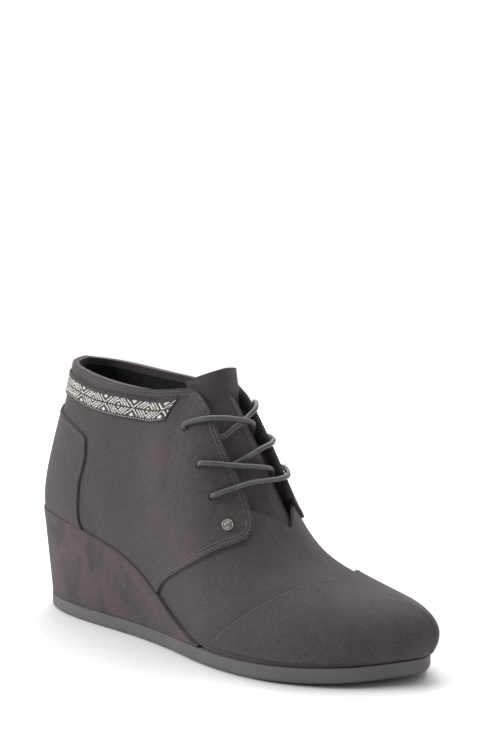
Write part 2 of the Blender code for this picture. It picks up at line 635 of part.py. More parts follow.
def punch(obs):
    """Lace holes through each quarter and the upper behind it."""
    base, pair = obs
    for side, ob in pair:
        for k in range(len(HOLES)):
            hs, ht = hole_at(side, k)
            lift = flap_lift(side, hs, ht)
            at = Vector(on_face(side, hs, ht, lift))
            out = Vector(facing(side, np.array([hs]), np.array([ht]))[0])
            bm = bmesh.new()
            turn = out.to_track_quat("Z", "Y").to_matrix().to_4x4()
            bmesh.ops.create_cone(bm, cap_ends=True, segments=8, radius1=HOLE_RADIUS, radius2=HOLE_RADIUS,
                                  depth=0.012, matrix=Matrix.Translation(at) @ turn)
            mesh = bpy.data.meshes.new(f"hole_{k}")
            bm.to_mesh(mesh)
            bm.free()
            cutter = bpy.data.objects.new(f"hole_{'outer' if side < 0 else 'inner'}_{k}", mesh)
            bpy.context.scene.collection.objects.link(cutter)
            for target in (ob, base):
                fuse(target, cutter, "DIFFERENCE")


def stud():
    """Plain round stud low on the outer quarter."""
    hs, ht = STUD_AT
    at = Vector(on_face(-1, hs, ht, flap_lift(-1, hs, ht) + 2 * GAP + PANEL + STUD_HEIGHT / 2))
    out = Vector(facing(-1, np.array([hs]), np.array([ht]))[0])
    bm = bmesh.new()
    turn = out.to_track_quat("Z", "Y").to_matrix().to_4x4()
    bmesh.ops.create_cone(bm, cap_ends=True, segments=16, radius1=STUD_RADIUS, radius2=STUD_RADIUS * 0.8,
                          depth=STUD_HEIGHT, matrix=Matrix.Translation(at) @ turn)
    verts = [v.co.copy() for v in bm.verts]
    faces = [[v.index for v in f.verts] for f in bm.faces]
    bm.free()
    return solid("stud", verts, faces, (0.20, 0.20, 0.20), 0.4)


def settle():
    """Puts the model's base centre at the origin."""
    points = np.concatenate([np.array([tuple(v.co) for v in ob.data.vertices])
                             for ob in bpy.context.scene.objects if not ob.hide_render])
    low, high = points.min(axis=0), points.max(axis=0)
    move = Matrix.Translation((-(low[0] + high[0]) / 2, -(low[1] + high[1]) / 2, -low[2]))
    for ob in bpy.context.scene.objects:
        ob.data.transform(move)


for ob in list(bpy.data.objects):
    bpy.data.objects.remove(ob, do_unlink=True)

outsole()
wedge()
insole()
base = upper()
quarters = [(-1, quarter("quarter_outer", -1, (0.114, 0.094, 0.101))),
            (1, quarter("quarter_inner", 1, (0.114, 0.094, 0.101)))]
counter()
weave()
toe_cap()
tongue()
lace()
stud()
punch((base, quarters))
settle()
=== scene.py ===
"""Looks of the wedge ankle boot, right foot. Metres, +X to the toe, +Y to the inner side, +Z up."""

import math

import bmesh
import bpy
import numpy as np
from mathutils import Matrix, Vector


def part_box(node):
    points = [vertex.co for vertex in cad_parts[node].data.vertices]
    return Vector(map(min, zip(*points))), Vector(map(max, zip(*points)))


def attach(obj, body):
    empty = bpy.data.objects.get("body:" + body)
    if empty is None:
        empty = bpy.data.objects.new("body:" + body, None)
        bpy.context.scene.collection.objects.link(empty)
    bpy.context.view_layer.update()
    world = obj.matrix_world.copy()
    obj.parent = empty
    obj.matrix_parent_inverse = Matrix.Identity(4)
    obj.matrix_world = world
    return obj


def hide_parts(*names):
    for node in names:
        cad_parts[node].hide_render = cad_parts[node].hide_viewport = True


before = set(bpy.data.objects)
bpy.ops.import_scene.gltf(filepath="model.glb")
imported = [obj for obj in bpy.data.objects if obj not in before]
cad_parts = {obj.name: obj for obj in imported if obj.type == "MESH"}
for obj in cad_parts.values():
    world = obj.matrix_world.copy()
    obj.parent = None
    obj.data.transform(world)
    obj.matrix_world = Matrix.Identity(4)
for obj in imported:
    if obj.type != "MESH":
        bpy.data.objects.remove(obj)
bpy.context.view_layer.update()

# Sizes of the last, the sole and the panels, as the frame has them
SOLE_LENGTH = 0.2407
HEEL_WIDTH = 0.060
BALL_WIDTH = 0.090
SOLE_THICKNESS = 0.0076
SOLE_EDGE_ROUND = 0.0025
TOE_SPRING = 0.0037
WEDGE_RISE = 0.0495
HEEL_FLARE = 0.0040
FOOT_INSET = 0.0026
HEEL_INSET = 0.0012
FRONT_OUT = 0.0016
COLLAR_RISE = 0.083
INSTEP_RISE = 0.0535
TOE_RISE = 0.0315
WALL = 0.0018
PANEL = 0.0010
WEAVE = 0.0006
TONGUE = 0.0020
INSOLE = 0.0022
GAP = 0.0004
CLOSE = 0.00015
CORD_RADIUS = 0.00135
HOLE_RADIUS = 0.0020
FLAP_EASE = 0.0003
STUD_RADIUS = 0.0028
STUD_HEIGHT = 0.0011
LACE_CLEAR = 0.0008
CORD_OVER = GAP + PANEL + FLAP_EASE + LACE_CLEAR + CORD_RADIUS

# Sole outline, from the back of the heel round the outer side to the toe and back along the inner side.
# Columns: share of the sole's length, share of the local width.
SOLE_OUTLINE = (
    (0.000, 0.000), (0.010, -0.147), (0.035, -0.277), (0.080, -0.383), (0.140, -0.457), (0.220, -0.503),
    (0.320, -0.486), (0.420, -0.458), (0.500, -0.465), (0.580, -0.500), (0.660, -0.538), (0.730, -0.544),
    (0.800, -0.516), (0.860, -0.450), (0.910, -0.361), (0.950, -0.241), (0.980, -0.113), (1.000, 0.040),
    (0.986, 0.140), (0.957, 0.238), (0.917, 0.322), (0.872, 0.388), (0.818, 0.434), (0.750, 0.457),
    (0.680, 0.433), (0.600, 0.378), (0.500, 0.317), (0.400, 0.330), (0.300, 0.412), (0.210, 0.480),
    (0.140, 0.450), (0.080, 0.380), (0.035, 0.277), (0.010, 0.147),
)
TOE_ROW = 17
WIDTH_STARTS, WIDTH_ENDS = 0.2, 0.6
SPRING_STARTS = 0.62
# Top edge of the wedge. Columns: share of the sole's length, share of the wedge's rise.
WEDGE_TOP = (
    (-0.02, 1.01), (0.00, 1.00), (0.10, 0.947), (0.20, 0.865), (0.32, 0.72), (0.39, 0.57),
    (0.45, 0.385), (0.51, 0.19), (0.555, 0.085), (0.60, 0.022), (0.64, 0.0), (1.02, 0.0),
)
# How far the wedge leans out above the sole. Columns: share of the sole's length, share of the heel flare.
WEDGE_FLARE = ((0.0, 1.0), (0.05, 0.88), (0.12, 0.62), (0.25, 0.42), (0.45, 0.2), (0.60, 0.0), (1.0, 0.0))
# Sections of the upper from the sole edge up to the collar or the instep ridge.
# Columns: share of the edge from heel to toe; top point as shares of sole length, ball width and the named
# rise; then the lower and the upper handle of the section's curve, forward, out and up, as shares of its chord.
SECTIONS = (
    (0.00, 0.088, 0.000, "collar", 1.000, (-0.01, 0.00, 0.22), (-0.10, 0.00, -0.36)),
    (0.06, 0.102, 0.109, "collar", 0.989, (-0.01, 0.02, 0.22), (-0.08, 0.00, -0.36)),
    (0.13, 0.147, 0.193, "collar", 0.984, (-0.01, 0.04, 0.24), (-0.06, 0.03, -0.36)),
    (0.22, 0.234, 0.250, "collar", 0.990, (0.02, 0.05, 0.26), (-0.03, 0.03, -0.34)),
    (0.32, 0.338, 0.271, "collar", 1.036, (0.03, 0.05, 0.28), (-0.03, 0.00, -0.32)),
    (0.40, 0.426, 0.227, "collar", 1.156, (0.03, 0.04, 0.32), (-0.03, 0.09, -0.28)),
    (0.46, 0.495, 0.118, "collar", 1.336, (0.04, 0.03, 0.36), (-0.05, 0.20, -0.17)),
    (0.49, 0.521, -0.020, "collar", 1.411, (0.05, 0.03, 0.38), (-0.04, 0.25, -0.08)),
    (0.56, 0.595, -0.028, "instep", 1.815, (0.05, 0.03, 0.42), (-0.02, 0.19, -0.02)),
    (0.62, 0.661, -0.018, "instep", 1.210, (0.04, 0.03, 0.44), (0.00, 0.23, 0.00)),
    (0.68, 0.718, 0.000, "instep", 0.857, (0.03, 0.03, 0.46), (0.00, 0.28, 0.00)),
    (0.76, 0.787, 0.015, "instep", 0.661, (0.02, 0.06, 0.46), (0.00, 0.33, 0.00)),
    (0.84, 0.852, 0.032, "toe", 0.930, (0.02, 0.04, 0.50), (0.03, 0.37, 0.00)),
    (0.92, 0.897, 0.039, "toe", 0.835, (0.06, 0.16, 0.54), (0.16, 0.31, 0.00)),
    (1.00, 0.925, 0.048, "toe", 0.775, (0.34, 0.16, 0.56), (0.50, 0.00, 0.00)),
)
# Edges of the pieces on the upper's face. Columns: share along the edge, share up the section.
THROAT_EDGE = (
    (0.42, 1.00), (0.445, 0.90), (0.470, 0.79), (0.500, 0.730), (0.53, 0.690), (0.556, 0.655), (0.582, 0.645),
    (0.595, 0.665), (0.606, 0.72), (0.620, 0.81), (0.634, 0.90), (0.648, 1.00),
)
# The flaps' edges are not mirrored. Columns: share along, share up on the outer side, share up on the inner side.
FLAP_EDGE = (
    (0.000, 1.000, 1.000), (0.400, 1.000, 1.000), (0.425, 0.994, 0.990), (0.442, 0.980, 0.960),
    (0.461, 0.928, 0.921), (0.480, 0.872, 0.874), (0.514, 0.792, 0.833), (0.531, 0.760, 0.813),
    (0.547, 0.729, 0.790), (0.573, 0.709, 0.774), (0.591, 0.698, 0.771), (0.611, 0.678, 0.757),
)
COUNTER_TOP = ((0.00, 0.735), (0.06, 0.716), (0.113, 0.690), (0.160, 0.668), (0.190, 0.644), (0.211, 0.618))
WEAVE_TOP = ((0.00, 0.946), (0.082, 0.940), (0.148, 0.932), (0.226, 0.922), (0.293, 0.936), (0.348, 0.943),
             (0.435, 0.928))
WEAVE_FOOT = ((0.00, 0.812), (0.070, 0.815), (0.136, 0.812), (0.228, 0.794), (0.293, 0.799), (0.357, 0.811),
              (0.424, 0.812))
# Front edges. Columns: share up the section, share along the edge.
QUARTER_FRONT = (
    (0.00, 0.433), (0.068, 0.446), (0.126, 0.465), (0.171, 0.489), (0.246, 0.531), (0.328, 0.562),
    (0.416, 0.586), (0.536, 0.610), (0.589, 0.616), (0.633, 0.617), (0.678, 0.611),
)
COUNTER_FRONT = (
    (0.00, 0.224), (0.059, 0.215), (0.135, 0.212), (0.314, 0.212), (0.417, 0.217), (0.511, 0.221), (0.618, 0.215),
)
CAP_SEAM = (
    (0.00, 0.582), (0.03, 0.594), (0.145, 0.634), (0.266, 0.670), (0.393, 0.701), (0.522, 0.728),
    (0.677, 0.755), (0.821, 0.775), (0.92, 0.783), (1.00, 0.786),
)
# Lace holes from the top down. Columns: share along the edge, share up on the outer side and on the inner side.
HOLES = ((0.476, 0.707, 0.740), (0.521, 0.574, 0.640), (0.551, 0.522, 0.590))
STUD_AT = (0.584, 0.509)
# Cord centres of the runs from their hole: the bar reaches the other hole, a crossing run ends under the other
# flap. Columns: side, share along, share up, height off the face as a share of a cord's height on a flap.
BAR = (
    (-1, 0.563, 0.578, 1.0), (-1, 0.577, 0.669, 1.0), (-1, 0.586, 0.760, 0.55), (-1, 0.593, 0.868, 0.1),
    (1, 0.597, 0.960, 0.1), (1, 0.594, 0.860, 0.6), (1, 0.586, 0.765, 1.0), (1, 0.571, 0.680, 1.0),
)
LOWER_OUTER = (
    (-1, 0.537, 0.615, 1.0), (-1, 0.548, 0.650, 1.0), (-1, 0.558, 0.689, 0.85), (-1, 0.569, 0.753, 0.55),
    (-1, 0.584, 0.918, 0.05), (1, 0.587, 0.960, -0.2), (1, 0.585, 0.854, -0.6), (1, 0.582, 0.760, -1.0),
)
LOWER_INNER = (
    (1, 0.545, 0.720, 1.0), (1, 0.556, 0.785, 1.0), (1, 0.565, 0.860, 0.55), (1, 0.570, 0.945, 0.0),
    (-1, 0.572, 0.899, -0.45), (-1, 0.568, 0.800, -0.55), (-1, 0.565, 0.756, -0.55), (-1, 0.561, 0.705, -0.55),
)
UPPER_OUTER = (
    (-1, 0.503, 0.738, 1.0), (-1, 0.516, 0.767, 1.0), (-1, 0.531, 0.831, 0.66), (-1, 0.543, 0.928, 0.25),
    (1, 0.547, 0.934, -0.15), (1, 0.545, 0.860, -0.7), (1, 0.540, 0.780, -1.1),
)
UPPER_INNER = (
    (1, 0.500, 0.790, 1.0), (1, 0.520, 0.835, 1.0), (1, 0.533, 0.890, 0.6), (1, 0.541, 0.950, -0.2),
    (-1, 0.546, 0.940, -0.45), (-1, 0.545, 0.863, -0.55), (-1, 0.542, 0.797, -0.55), (-1, 0.536, 0.740, -0.55),
)
# A run leaves its hole by this step along and up, at this share of a cord's height on a flap. On the flaps the
# cord lies lower by CORD_SINK.
HOLE_STEP = (0.002, 0.008)
HOLE_HEIGHT, CORD_SINK = 0.75, 0.0006
# Depth of the lace behind a hole and its height just in front of it
BEHIND_HOLE, BEFORE_HOLE = -0.0034, 0.0005
COLLAR_ENDS = 0.49
CENTRE = -0.0018
THROAT_ENDS = 0.648
SEAM_SHARE = 0.0012
FACING_STRIP = 0.0042
# Padded roll along the inner flap: shares along where it starts, runs free and ends, then its place and size
ROLL_STARTS, ROLL_FREE, ROLL_ENDS = 0.385, 0.45, 0.606
ROLL_SHIFT, ROLL_DEPTH, ROLL_SINK, ROLL_RADIUS = 0.014, 0.0004, 0.0006, 0.0023
WEDGE_ENDS = 0.545
TONGUE_FOOT, TONGUE_NECK = 0.690, 0.510
TONGUE_ARC, TONGUE_BACK, TONGUE_WRAP, TONGUE_DROP = 0.0150, 0.0190, 1.45, 0.0080
TONGUE_LEAN, TONGUE_RISE = 0.0010, 0.0048
TONGUE_SINK, TONGUE_WING, TONGUE_EDGE = 0.0046, 0.12, 0.0006
COLLAR_ROW = 7
QUARTER_BACK, QUARTER_FOOT = 0.38, 0.03
WELD = 2e-6
SHEET_EDGE, SHEET_ANGLE = 0.00035, math.radians(55)
TURN_EVENED = 0.035
TURN_STEPS = ((-1.0, 0.15), (-0.5, 0.22), (0.0, 0.26), (0.5, 0.22), (1.0, 0.15))
# How deep the tongue lies under the upper's face. Columns: share along the edge, share of TONGUE_SINK.
TONGUE_DEPTH = ((0.50, 0.9), (0.53, 0.95), (0.60, 1.0), (0.640, 0.78), (0.70, 0.74))


def cubic(xs, ys, at):
    """Values at the given places of the smooth curve through (xs, ys); ys may have several columns."""
    xs = np.asarray(xs, float)
    ys = np.asarray(ys, float).reshape(len(xs), -1)
    h = np.diff(xs)
    slope = np.diff(ys, axis=0) / h[:, None]
    system = np.eye(len(xs))
    bend = np.zeros_like(ys)
    for i in range(1, len(xs) - 1):
        system[i, i - 1 : i + 2] = h[i - 1], 2 * (h[i - 1] + h[i]), h[i]
        bend[i] = 6 * (slope[i] - slope[i - 1])
    bend = np.linalg.solve(system, bend)
    at = np.clip(np.atleast_1d(np.asarray(at, float)), xs[0], xs[-1])
    k = np.clip(np.searchsorted(xs, at) - 1, 0, len(xs) - 2)
    a = ((xs[k + 1] - at) / h[k])[:, None]
    b = 1 - a
    hh = (h[k] ** 2 / 6)[:, None]
    return a * ys[k] + b * ys[k + 1] + ((a**3 - a) * bend[k] + (b**3 - b) * bend[k + 1]) * hh


def table(rows, at):
    """Values at the given places of a two-column table, without overshoot between its rows."""
    xs, ys = (np.array(column, float) for column in zip(*rows))
    h = np.diff(xs)
    slope = np.diff(ys) / h
    bend = np.zeros(len(xs))
    w1, w2 = 2 * h[1:] + h[:-1], h[1:] + 2 * h[:-1]
    same = slope[1:] * slope[:-1] > 0
    safe = np.where(same, slope[1:] * slope[:-1], 1)
    bend[1:-1] = np.where(same, (w1 + w2) * safe / (w1 * slope[1:] + w2 * slope[:-1] + (~same)), 0)
    bend[0], bend[-1] = slope[0], slope[-1]
    at = np.clip(np.asarray(at, float), xs[0], xs[-1])
    k = np.clip(np.searchsorted(xs, at) - 1, 0, len(xs) - 2)
    q = (at - xs[k]) / h[k]
    return (ys[k] * (1 + 2 * q) * (1 - q) ** 2 + ys[k + 1] * q * q * (3 - 2 * q)
            + h[k] * (bend[k] * q * (1 - q) ** 2 - bend[k + 1] * q * q * (1 - q)))


def ease(q):
    """0 to 1 with flat ends."""
    q = np.clip(q, 0.0, 1.0)
    return q * q * (3 - 2 * q)


def run_of(points):
    """Length along a line up to each of its points."""
    return np.concatenate([[0], np.cumsum(np.linalg.norm(np.diff(points, axis=0), axis=1))])


def sole_width(along):
    """Local width that the outline's shares refer to."""
    return HEEL_WIDTH + (BALL_WIDTH - HEEL_WIDTH) * ease((along - WIDTH_STARTS) / (WIDTH_ENDS - WIDTH_STARTS))


def outline_halves():
    """Outer and inner half of the sole's outline, heel to toe, as dense (x, y) rows with their lengths."""
    rows = np.array(SOLE_OUTLINE)
    points = np.column_stack([rows[:, 0] * SOLE_LENGTH, rows[:, 1] * sole_width(rows[:, 0])])
    wrap = 4
    padded = np.vstack([points[-wrap:], points, points[: wrap + 1]])
    along = run_of(padded)
    along -= along[wrap]
    fine = 400
    halves = []
    for start, end in ((0, TOE_ROW), (len(points), TOE_ROW)):
        span = np.linspace(along[start + wrap], along[end + wrap], fine)
        curve = cubic(along, padded, span)
        length = run_of(curve)
        halves.append((length / length[-1], curve))
    return halves


HALVES = outline_halves()
TOE_FACING = HALVES[0][1][-1] - HALVES[0][1][-2]
TOE_FACING = np.array([TOE_FACING[1], -TOE_FACING[0]]) / np.linalg.norm(TOE_FACING)
# The tables start at the heel's end on the sole's middle line; the frame starts at the middle of its box.
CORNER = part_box("outsole")[0]
SHIFT = np.array([CORNER.x - min(c[:, 0].min() for _, c in HALVES),
                  CORNER.y - min(c[:, 1].min() for _, c in HALVES), CORNER.z])


def outline(side, s):
    """Sole outline at share s of its outer (side -1) or inner (side 1) half: points and outward directions."""
    share, curve = HALVES[0 if side < 0 else 1]
    tangent = np.gradient(curve, axis=0)
    tangent /= np.linalg.norm(tangent, axis=1)[:, None]
    s = np.atleast_1d(s)
    at = np.column_stack([np.interp(s, share, curve[:, k]) for k in (0, 1)])
    t = np.column_stack([np.interp(s, share, tangent[:, k]) for k in (0, 1)])
    out = np.column_stack([t[:, 1], -t[:, 0]]) * (1 if side < 0 else -1)
    out[s <= 0] = (-1, 0)
    out[s >= 1] = TOE_FACING
    return at, out / np.linalg.norm(out, axis=1)[:, None]


def spring(x):
    """Rise of the sole's underside towards the toe."""
    q = np.clip((x / SOLE_LENGTH - SPRING_STARTS) / (1 - SPRING_STARTS), 0, None)
    return TOE_SPRING * q * q


def seat(x):
    """Height of the wedge's top, and in front of it of the sole's top."""
    return SOLE_THICKNESS + spring(x) + WEDGE_RISE * table(WEDGE_TOP, x / SOLE_LENGTH)


def rim(side, s):
    """Top edge of the wedge and sole, in plan, with the outward directions."""
    at, out = outline(side, s)
    flare = HEEL_FLARE * table(WEDGE_FLARE, at[:, 0] / SOLE_LENGTH)
    return at + out * flare[:, None], out


def section_rows():
    """Top points and handles of SECTIONS as real sizes, for each row."""
    rises = {"collar": COLLAR_RISE, "instep": INSTEP_RISE, "toe": TOE_RISE}
    rows = []
    for share, along, across, size, rise, low, high in SECTIONS:
        x = along * SOLE_LENGTH
        z = seat(np.array([x]))[0] + rise * rises[size]
        rows.append((share, x, across * BALL_WIDTH, z, *low, *high))
    return np.array(rows)


def sections(side, s, t):
    """Points on the sections at shares s along the edge and t up them (arrays of one shape)."""
    s, t = np.broadcast_arrays(np.asarray(s, float), np.asarray(t, float))
    shape, s, t = s.shape, s.ravel(), t.ravel()
    rows = section_rows()
    value = cubic(rows[:, 0], rows[:, 1:], s)
    edge, out = rim(side, s)
    inward = FOOT_INSET + HEEL_INSET * (1 - ease(s / 0.30)) - FRONT_OUT * ease((s - 0.45) / 0.2)
    edge = edge - out * inward[:, None]
    foot = np.column_stack([edge, seat(edge[:, 0]) + CLOSE])
    across = np.where(s < COLLAR_ENDS, side * np.maximum(value[:, 1] - CENTRE * s / COLLAR_ENDS, 0)
                      + CENTRE * s / COLLAR_ENDS, value[:, 1])
    top = np.column_stack([value[:, 0], across, value[:, 2]])
    chord = np.linalg.norm(top - foot, axis=1)[:, None]
    plan_out = np.column_stack([out, np.zeros(len(s))])
    forward, outward, upward = np.eye(3)
    low = foot + chord * (value[:, 3:4] * forward + value[:, 4:5] * plan_out + value[:, 5:6] * upward)
    high = top + chord * (value[:, 6:7] * forward + value[:, 7:8] * side * outward + value[:, 8:9] * upward)
    t = t[:, None]
    at = foot * (1 - t) ** 3 + 3 * low * t * (1 - t) ** 2 + 3 * high * t * t * (1 - t) + top * t**3
    return at.reshape(*shape, 3)


def surface(side, s, t):
    """Outer face of the upper; the turn from the collar into the instep is evened along the edge."""
    s = np.asarray(s, float)
    reach = TURN_EVENED * ease((s - 0.36) / 0.10) * ease((0.64 - s) / 0.10)
    return sum(weight * sections(side, s + step * reach, t) for step, weight in TURN_STEPS)


def facing(side, s, t):
    """Outward directions of the upper's face."""
    e = 2e-3
    s, t = np.broadcast_arrays(np.asarray(s, float), np.asarray(t, float))
    along = surface(side, np.minimum(s + e, 1), t) - surface(side, np.maximum(s - e, 0), t)
    rise = surface(side, s, np.minimum(t + e, 1)) - surface(side, s, np.maximum(t - e, 0))
    n = np.cross(along, rise) * -side
    return n / np.linalg.norm(n, axis=-1, keepdims=True)


def blend(a, b, q):
    return a + (b - a) * q


def spread(*stops):
    """Shares between stops: (first, (next, steps), ...)."""
    values = [stops[0]]
    for end, steps in stops[1:]:
        values.extend(np.linspace(values[-1], end, steps + 1)[1:])
    return np.array(values)


def flap_edge(side, s):
    """Share up of a flap's free edge."""
    return table([(row[0], row[1] if side < 0 else row[2]) for row in FLAP_EDGE], s)


def flap_lift(side, s, t):
    """How far a flap eases off the upper towards its edge."""
    along = ease((s - 0.36) / 0.16) * ease((0.660 - s) / 0.08)
    return FLAP_EASE * along * ease((t / flap_edge(side, s) - 0.10) / 0.40)


def tongue_grids(rows, columns, more):
    """Outer face of the tongue, both sides: under the throat, then rising to its free top."""
    s = np.linspace(TONGUE_FOOT, TONGUE_NECK, rows)
    v = np.linspace(0, 1, columns)
    _, x, y, z = section_rows()[COLLAR_ROW][:4]
    low = np.interp(s, (TONGUE_NECK, 0.58, TONGUE_FOOT), (0.66, 0.56, 0.78))[:, None]
    t = low + (1 - low) * v
    sink = (table(TONGUE_DEPTH, s) * TONGUE_SINK)[:, None] * (1 + TONGUE_WING * (1 - v))
    grids = [surface(side, s[:, None], t) - facing(side, s[:, None], t) * sink[..., None] for side in (-1, 1)]
    ridge = (grids[0][:, -1] + grids[1][:, -1]) / 2
    made = []
    for side, at in zip((-1, 1), grids):
        at[:, -1] = ridge
        turn = (1 - v) * TONGUE_WRAP
        back = 1 - np.cos(turn)
        brim = np.column_stack([x + TONGUE_LEAN - TONGUE_BACK * back, y + side * TONGUE_ARC * np.sin(turn),
                                z + TONGUE_RISE - TONGUE_DROP * back])
        top = [blend(at[-1], brim, np.array([q, q**0.4, q])) for q in np.linspace(0, 1, more + 1)[1:]]
        made.append((np.concatenate([at, top]), side < 0))
    return made


# Soft troughs (depth below 0: ridge) on the upper. Columns: side, from and to as shares along and up,
# half width and depth in metres.
CREASES = (
    (-1, (0.440, 0.560), (0.335, 0.500), 0.0050, 0.00045),
    (-1, (0.470, 0.480), (0.380, 0.330), 0.0060, 0.00050),
    (-1, (0.300, 0.420), (0.245, 0.560), 0.0070, 0.00040),
    (-1, (0.640, 0.420), (0.700, 0.640), 0.0060, 0.00045),
    (-1, (0.665, 0.700), (0.655, 0.900), 0.0040, 0.00040),
    (1, (0.440, 0.560), (0.335, 0.480), 0.0050, 0.00055),
    (1, (0.470, 0.460), (0.380, 0.330), 0.0060, 0.00050),
    (1, (0.640, 0.420), (0.700, 0.640), 0.0060, 0.00045),
)
ALONG_REACH, UP_REACH = 0.270, 0.085


def relief(side, s, t):
    """Height of creases and of the toe's lasting pleats on the upper's face."""
    height = np.zeros(np.broadcast(s, t).shape)
    for crease_side, start, end, width, depth in CREASES:
        if crease_side != side:
            continue
        a, b = (np.array(p) * (ALONG_REACH, UP_REACH) for p in (start, end))
        d = b - a
        x, y = s * ALONG_REACH - a[0], t * UP_REACH - a[1]
        q = (x * d[0] + y * d[1]) / (d @ d)
        off = (x * d[1] - y * d[0]) / np.linalg.norm(d)
        fade = ease(q / 0.3 + 0.2) * ease((1 - q) / 0.3 + 0.2)
        height -= depth * fade * np.exp(-((off / width) ** 2))
    pleats = ease((s - 0.88) / 0.08) * ease((0.16 - t) / 0.14)
    return height + 0.00016 * pleats * np.sin(s * ALONG_REACH / 0.0011)


def place(side, s, t, off=0.0):
    """Points off the upper's face, its creases counted."""
    s, t = np.asarray(s, float), np.asarray(t, float)
    height = relief(side, s, t) + off
    return surface(side, s, t) + facing(side, s, t) * height[..., None]


def inset(side, line, distance):
    """The line of (s, t) rows moved over the face by a distance to the left of its run (in s, t)."""
    e = 1e-3
    s, t = line.T
    ps = (surface(side, s + e, t) - surface(side, s - e, t)) / (2 * e)
    pt = (surface(side, s, t + e) - surface(side, s, t - e)) / (2 * e)
    run = np.gradient(line, axis=0)
    run3 = ps * run[:, :1] + pt * run[:, 1:]
    n = np.cross(ps, pt)
    left = np.cross(n, run3)
    left *= distance / np.linalg.norm(left, axis=1)[:, None]
    moved = [np.linalg.lstsq(np.column_stack([a, b]), d, rcond=None)[0] for a, b, d in zip(ps, pt, left)]
    return line + np.array(moved)


def add(name, data):
    ob = bpy.data.objects.new(name, data)
    bpy.context.scene.collection.objects.link(ob)
    return ob


def finish_mesh(name, verts, faces, materials, slots=None, sharp=38, nodes=()):
    """Piece in the frame's place, shaded smooth, riding on the one body."""
    mesh = bpy.data.meshes.new(name)
    mesh.from_pydata((np.asarray(verts, float) + SHIFT).tolist(), [], [list(f) for f in faces])
    mesh.polygons.foreach_set("use_smooth", [True] * len(mesh.polygons))
    for m in materials:
        mesh.materials.append(m)
    if slots is not None:
        mesh.polygons.foreach_set("material_index", slots)
    mesh.update()
    mesh.set_sharp_from_angle(angle=math.radians(sharp))
    ob = add(name, mesh)
    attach(ob, "root")
    if nodes:
        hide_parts(*nodes)
    return ob


def quads(n, m, flip):
    """Faces of an n by m grid of points."""
    a = (np.arange(n - 1)[:, None] * m + np.arange(m - 1)[None, :]).ravel()
    found = np.column_stack([a, a + m, a + m + 1, a + 1])
    return found[:, ::-1] if flip else found


def ring_faces(rings, sides):
    """Faces between successive closed rings of points."""
    return [[i * sides + j, i * sides + (j + 1) % sides, (i + 1) * sides + (j + 1) % sides, (i + 1) * sides + j]
            for i in range(rings - 1) for j in range(sides)]


def weld(bm):
    bmesh.ops.remove_doubles(bm, verts=bm.verts, dist=WELD)
    bmesh.ops.dissolve_degenerate(bm, edges=bm.edges, dist=WELD)


def open_holes(bm, holes):
    """Cuts round lace holes into a sheet, about the given points on it."""
    radius = HOLE_RADIUS * 0.85
    for centre in map(Vector, holes):
        near = [e for e in bm.edges if min((v.co - centre).length for v in e.verts) < 1.8 * radius]
        bmesh.ops.subdivide_edges(bm, edges=near, cuts=2, use_grid_fill=True)
        gone = [f for f in bm.faces if (f.calc_center_median() - centre).length < radius]
        bmesh.ops.delete(bm, geom=gone, context="FACES")
        for v in bm.verts:
            if v.is_boundary and (v.co - centre).length < 1.5 * radius:
                v.co = centre + (v.co - centre).normalized() * radius


def shell(name, grids, outer, inner, materials, nodes=(), bevel=SHEET_EDGE, holes=()):
    """Closed sheet between the two offsets of the given surface grids, with softened edges.
    The materials are those of its outer face, its inner face and its cut edge."""
    bm = bmesh.new()
    for grid, flip in grids:
        made = [bm.verts.new(p) for p in grid.reshape(-1, 3).tolist()]
        for face in quads(*grid.shape[:2], flip).tolist():
            bm.faces.new([made[k] for k in face])
    weld(bm)
    open_holes(bm, holes)
    bm.normal_update()
    bm.verts.index_update()
    normals = np.array([v.normal[:] for v in bm.verts])
    base = np.array([v.co[:] for v in bm.verts])
    faces = [[v.index for v in f.verts] for f in bm.faces]
    border = [(loop.vert.index, loop.link_loop_next.vert.index)
              for f in bm.faces for loop in f.loops if loop.edge.is_boundary]
    bm.free()
    count = len(base)
    verts = np.vstack([base + normals * outer, base + normals * inner])
    verts[:, 2] = np.maximum(verts[:, 2], seat(verts[:, 0]) + CLOSE)
    every = faces + [[k + count for k in f[::-1]] for f in faces]
    every += [[b, a, a + count, b + count] for a, b in border]
    slots = [0] * len(faces) + [1] * len(faces) + [2] * len(border)
    ob = finish_mesh(name, verts, every, materials, slots, nodes=nodes)
    if bevel:
        modifier = ob.modifiers.new("edge", "BEVEL")
        modifier.limit_method = "ANGLE"
        modifier.angle_limit = SHEET_ANGLE
        modifier.width = bevel
        modifier.segments = 2
        modifier.material = 2
    return ob


def grid_of(side, s, t, lift=0.0):
    return place(side, s, t, lift), side > 0


# Materials
MAUVE = (0.082, 0.069, 0.0745)


def constants(node, values):
    for socket, value in values.items():
        node.inputs[socket.replace("_", " ")].default_value = value
    return node


def node_of(tree, kind, **values):
    """New node with the values set on its sockets."""
    return constants(tree.nodes.new("ShaderNode" + kind), values)


def nodes_of(name, colour, roughness, **values):
    """New material with its shader; the values are set on the shader's own sockets."""
    material = bpy.data.materials.new(name)
    material.use_nodes = True
    tree = material.node_tree
    shader = tree.nodes["Principled BSDF"]
    constants(shader, {"Base Color": (*colour, 1), "Roughness": roughness, **values})
    return material, tree, shader


def coordinates(tree, stretch=(1, 1, 1), turn=(0, 0, 0), source="Object"):
    where = node_of(tree, "TexCoord")
    mapping = node_of(tree, "Mapping", Scale=stretch, Rotation=turn)
    tree.links.new(where.outputs[source], mapping.inputs["Vector"])
    return mapping.outputs["Vector"]


def noise(tree, size, detail=2.0, rough=0.5, distortion=0.0, vector=None):
    """Noise whose features measure about the given size in metres."""
    node = node_of(tree, "TexNoise", Scale=1 / size, Detail=detail, Roughness=rough, Distortion=distortion)
    tree.links.new(vector if vector is not None else coordinates(tree), node.inputs["Vector"])
    return node.outputs["Fac"]


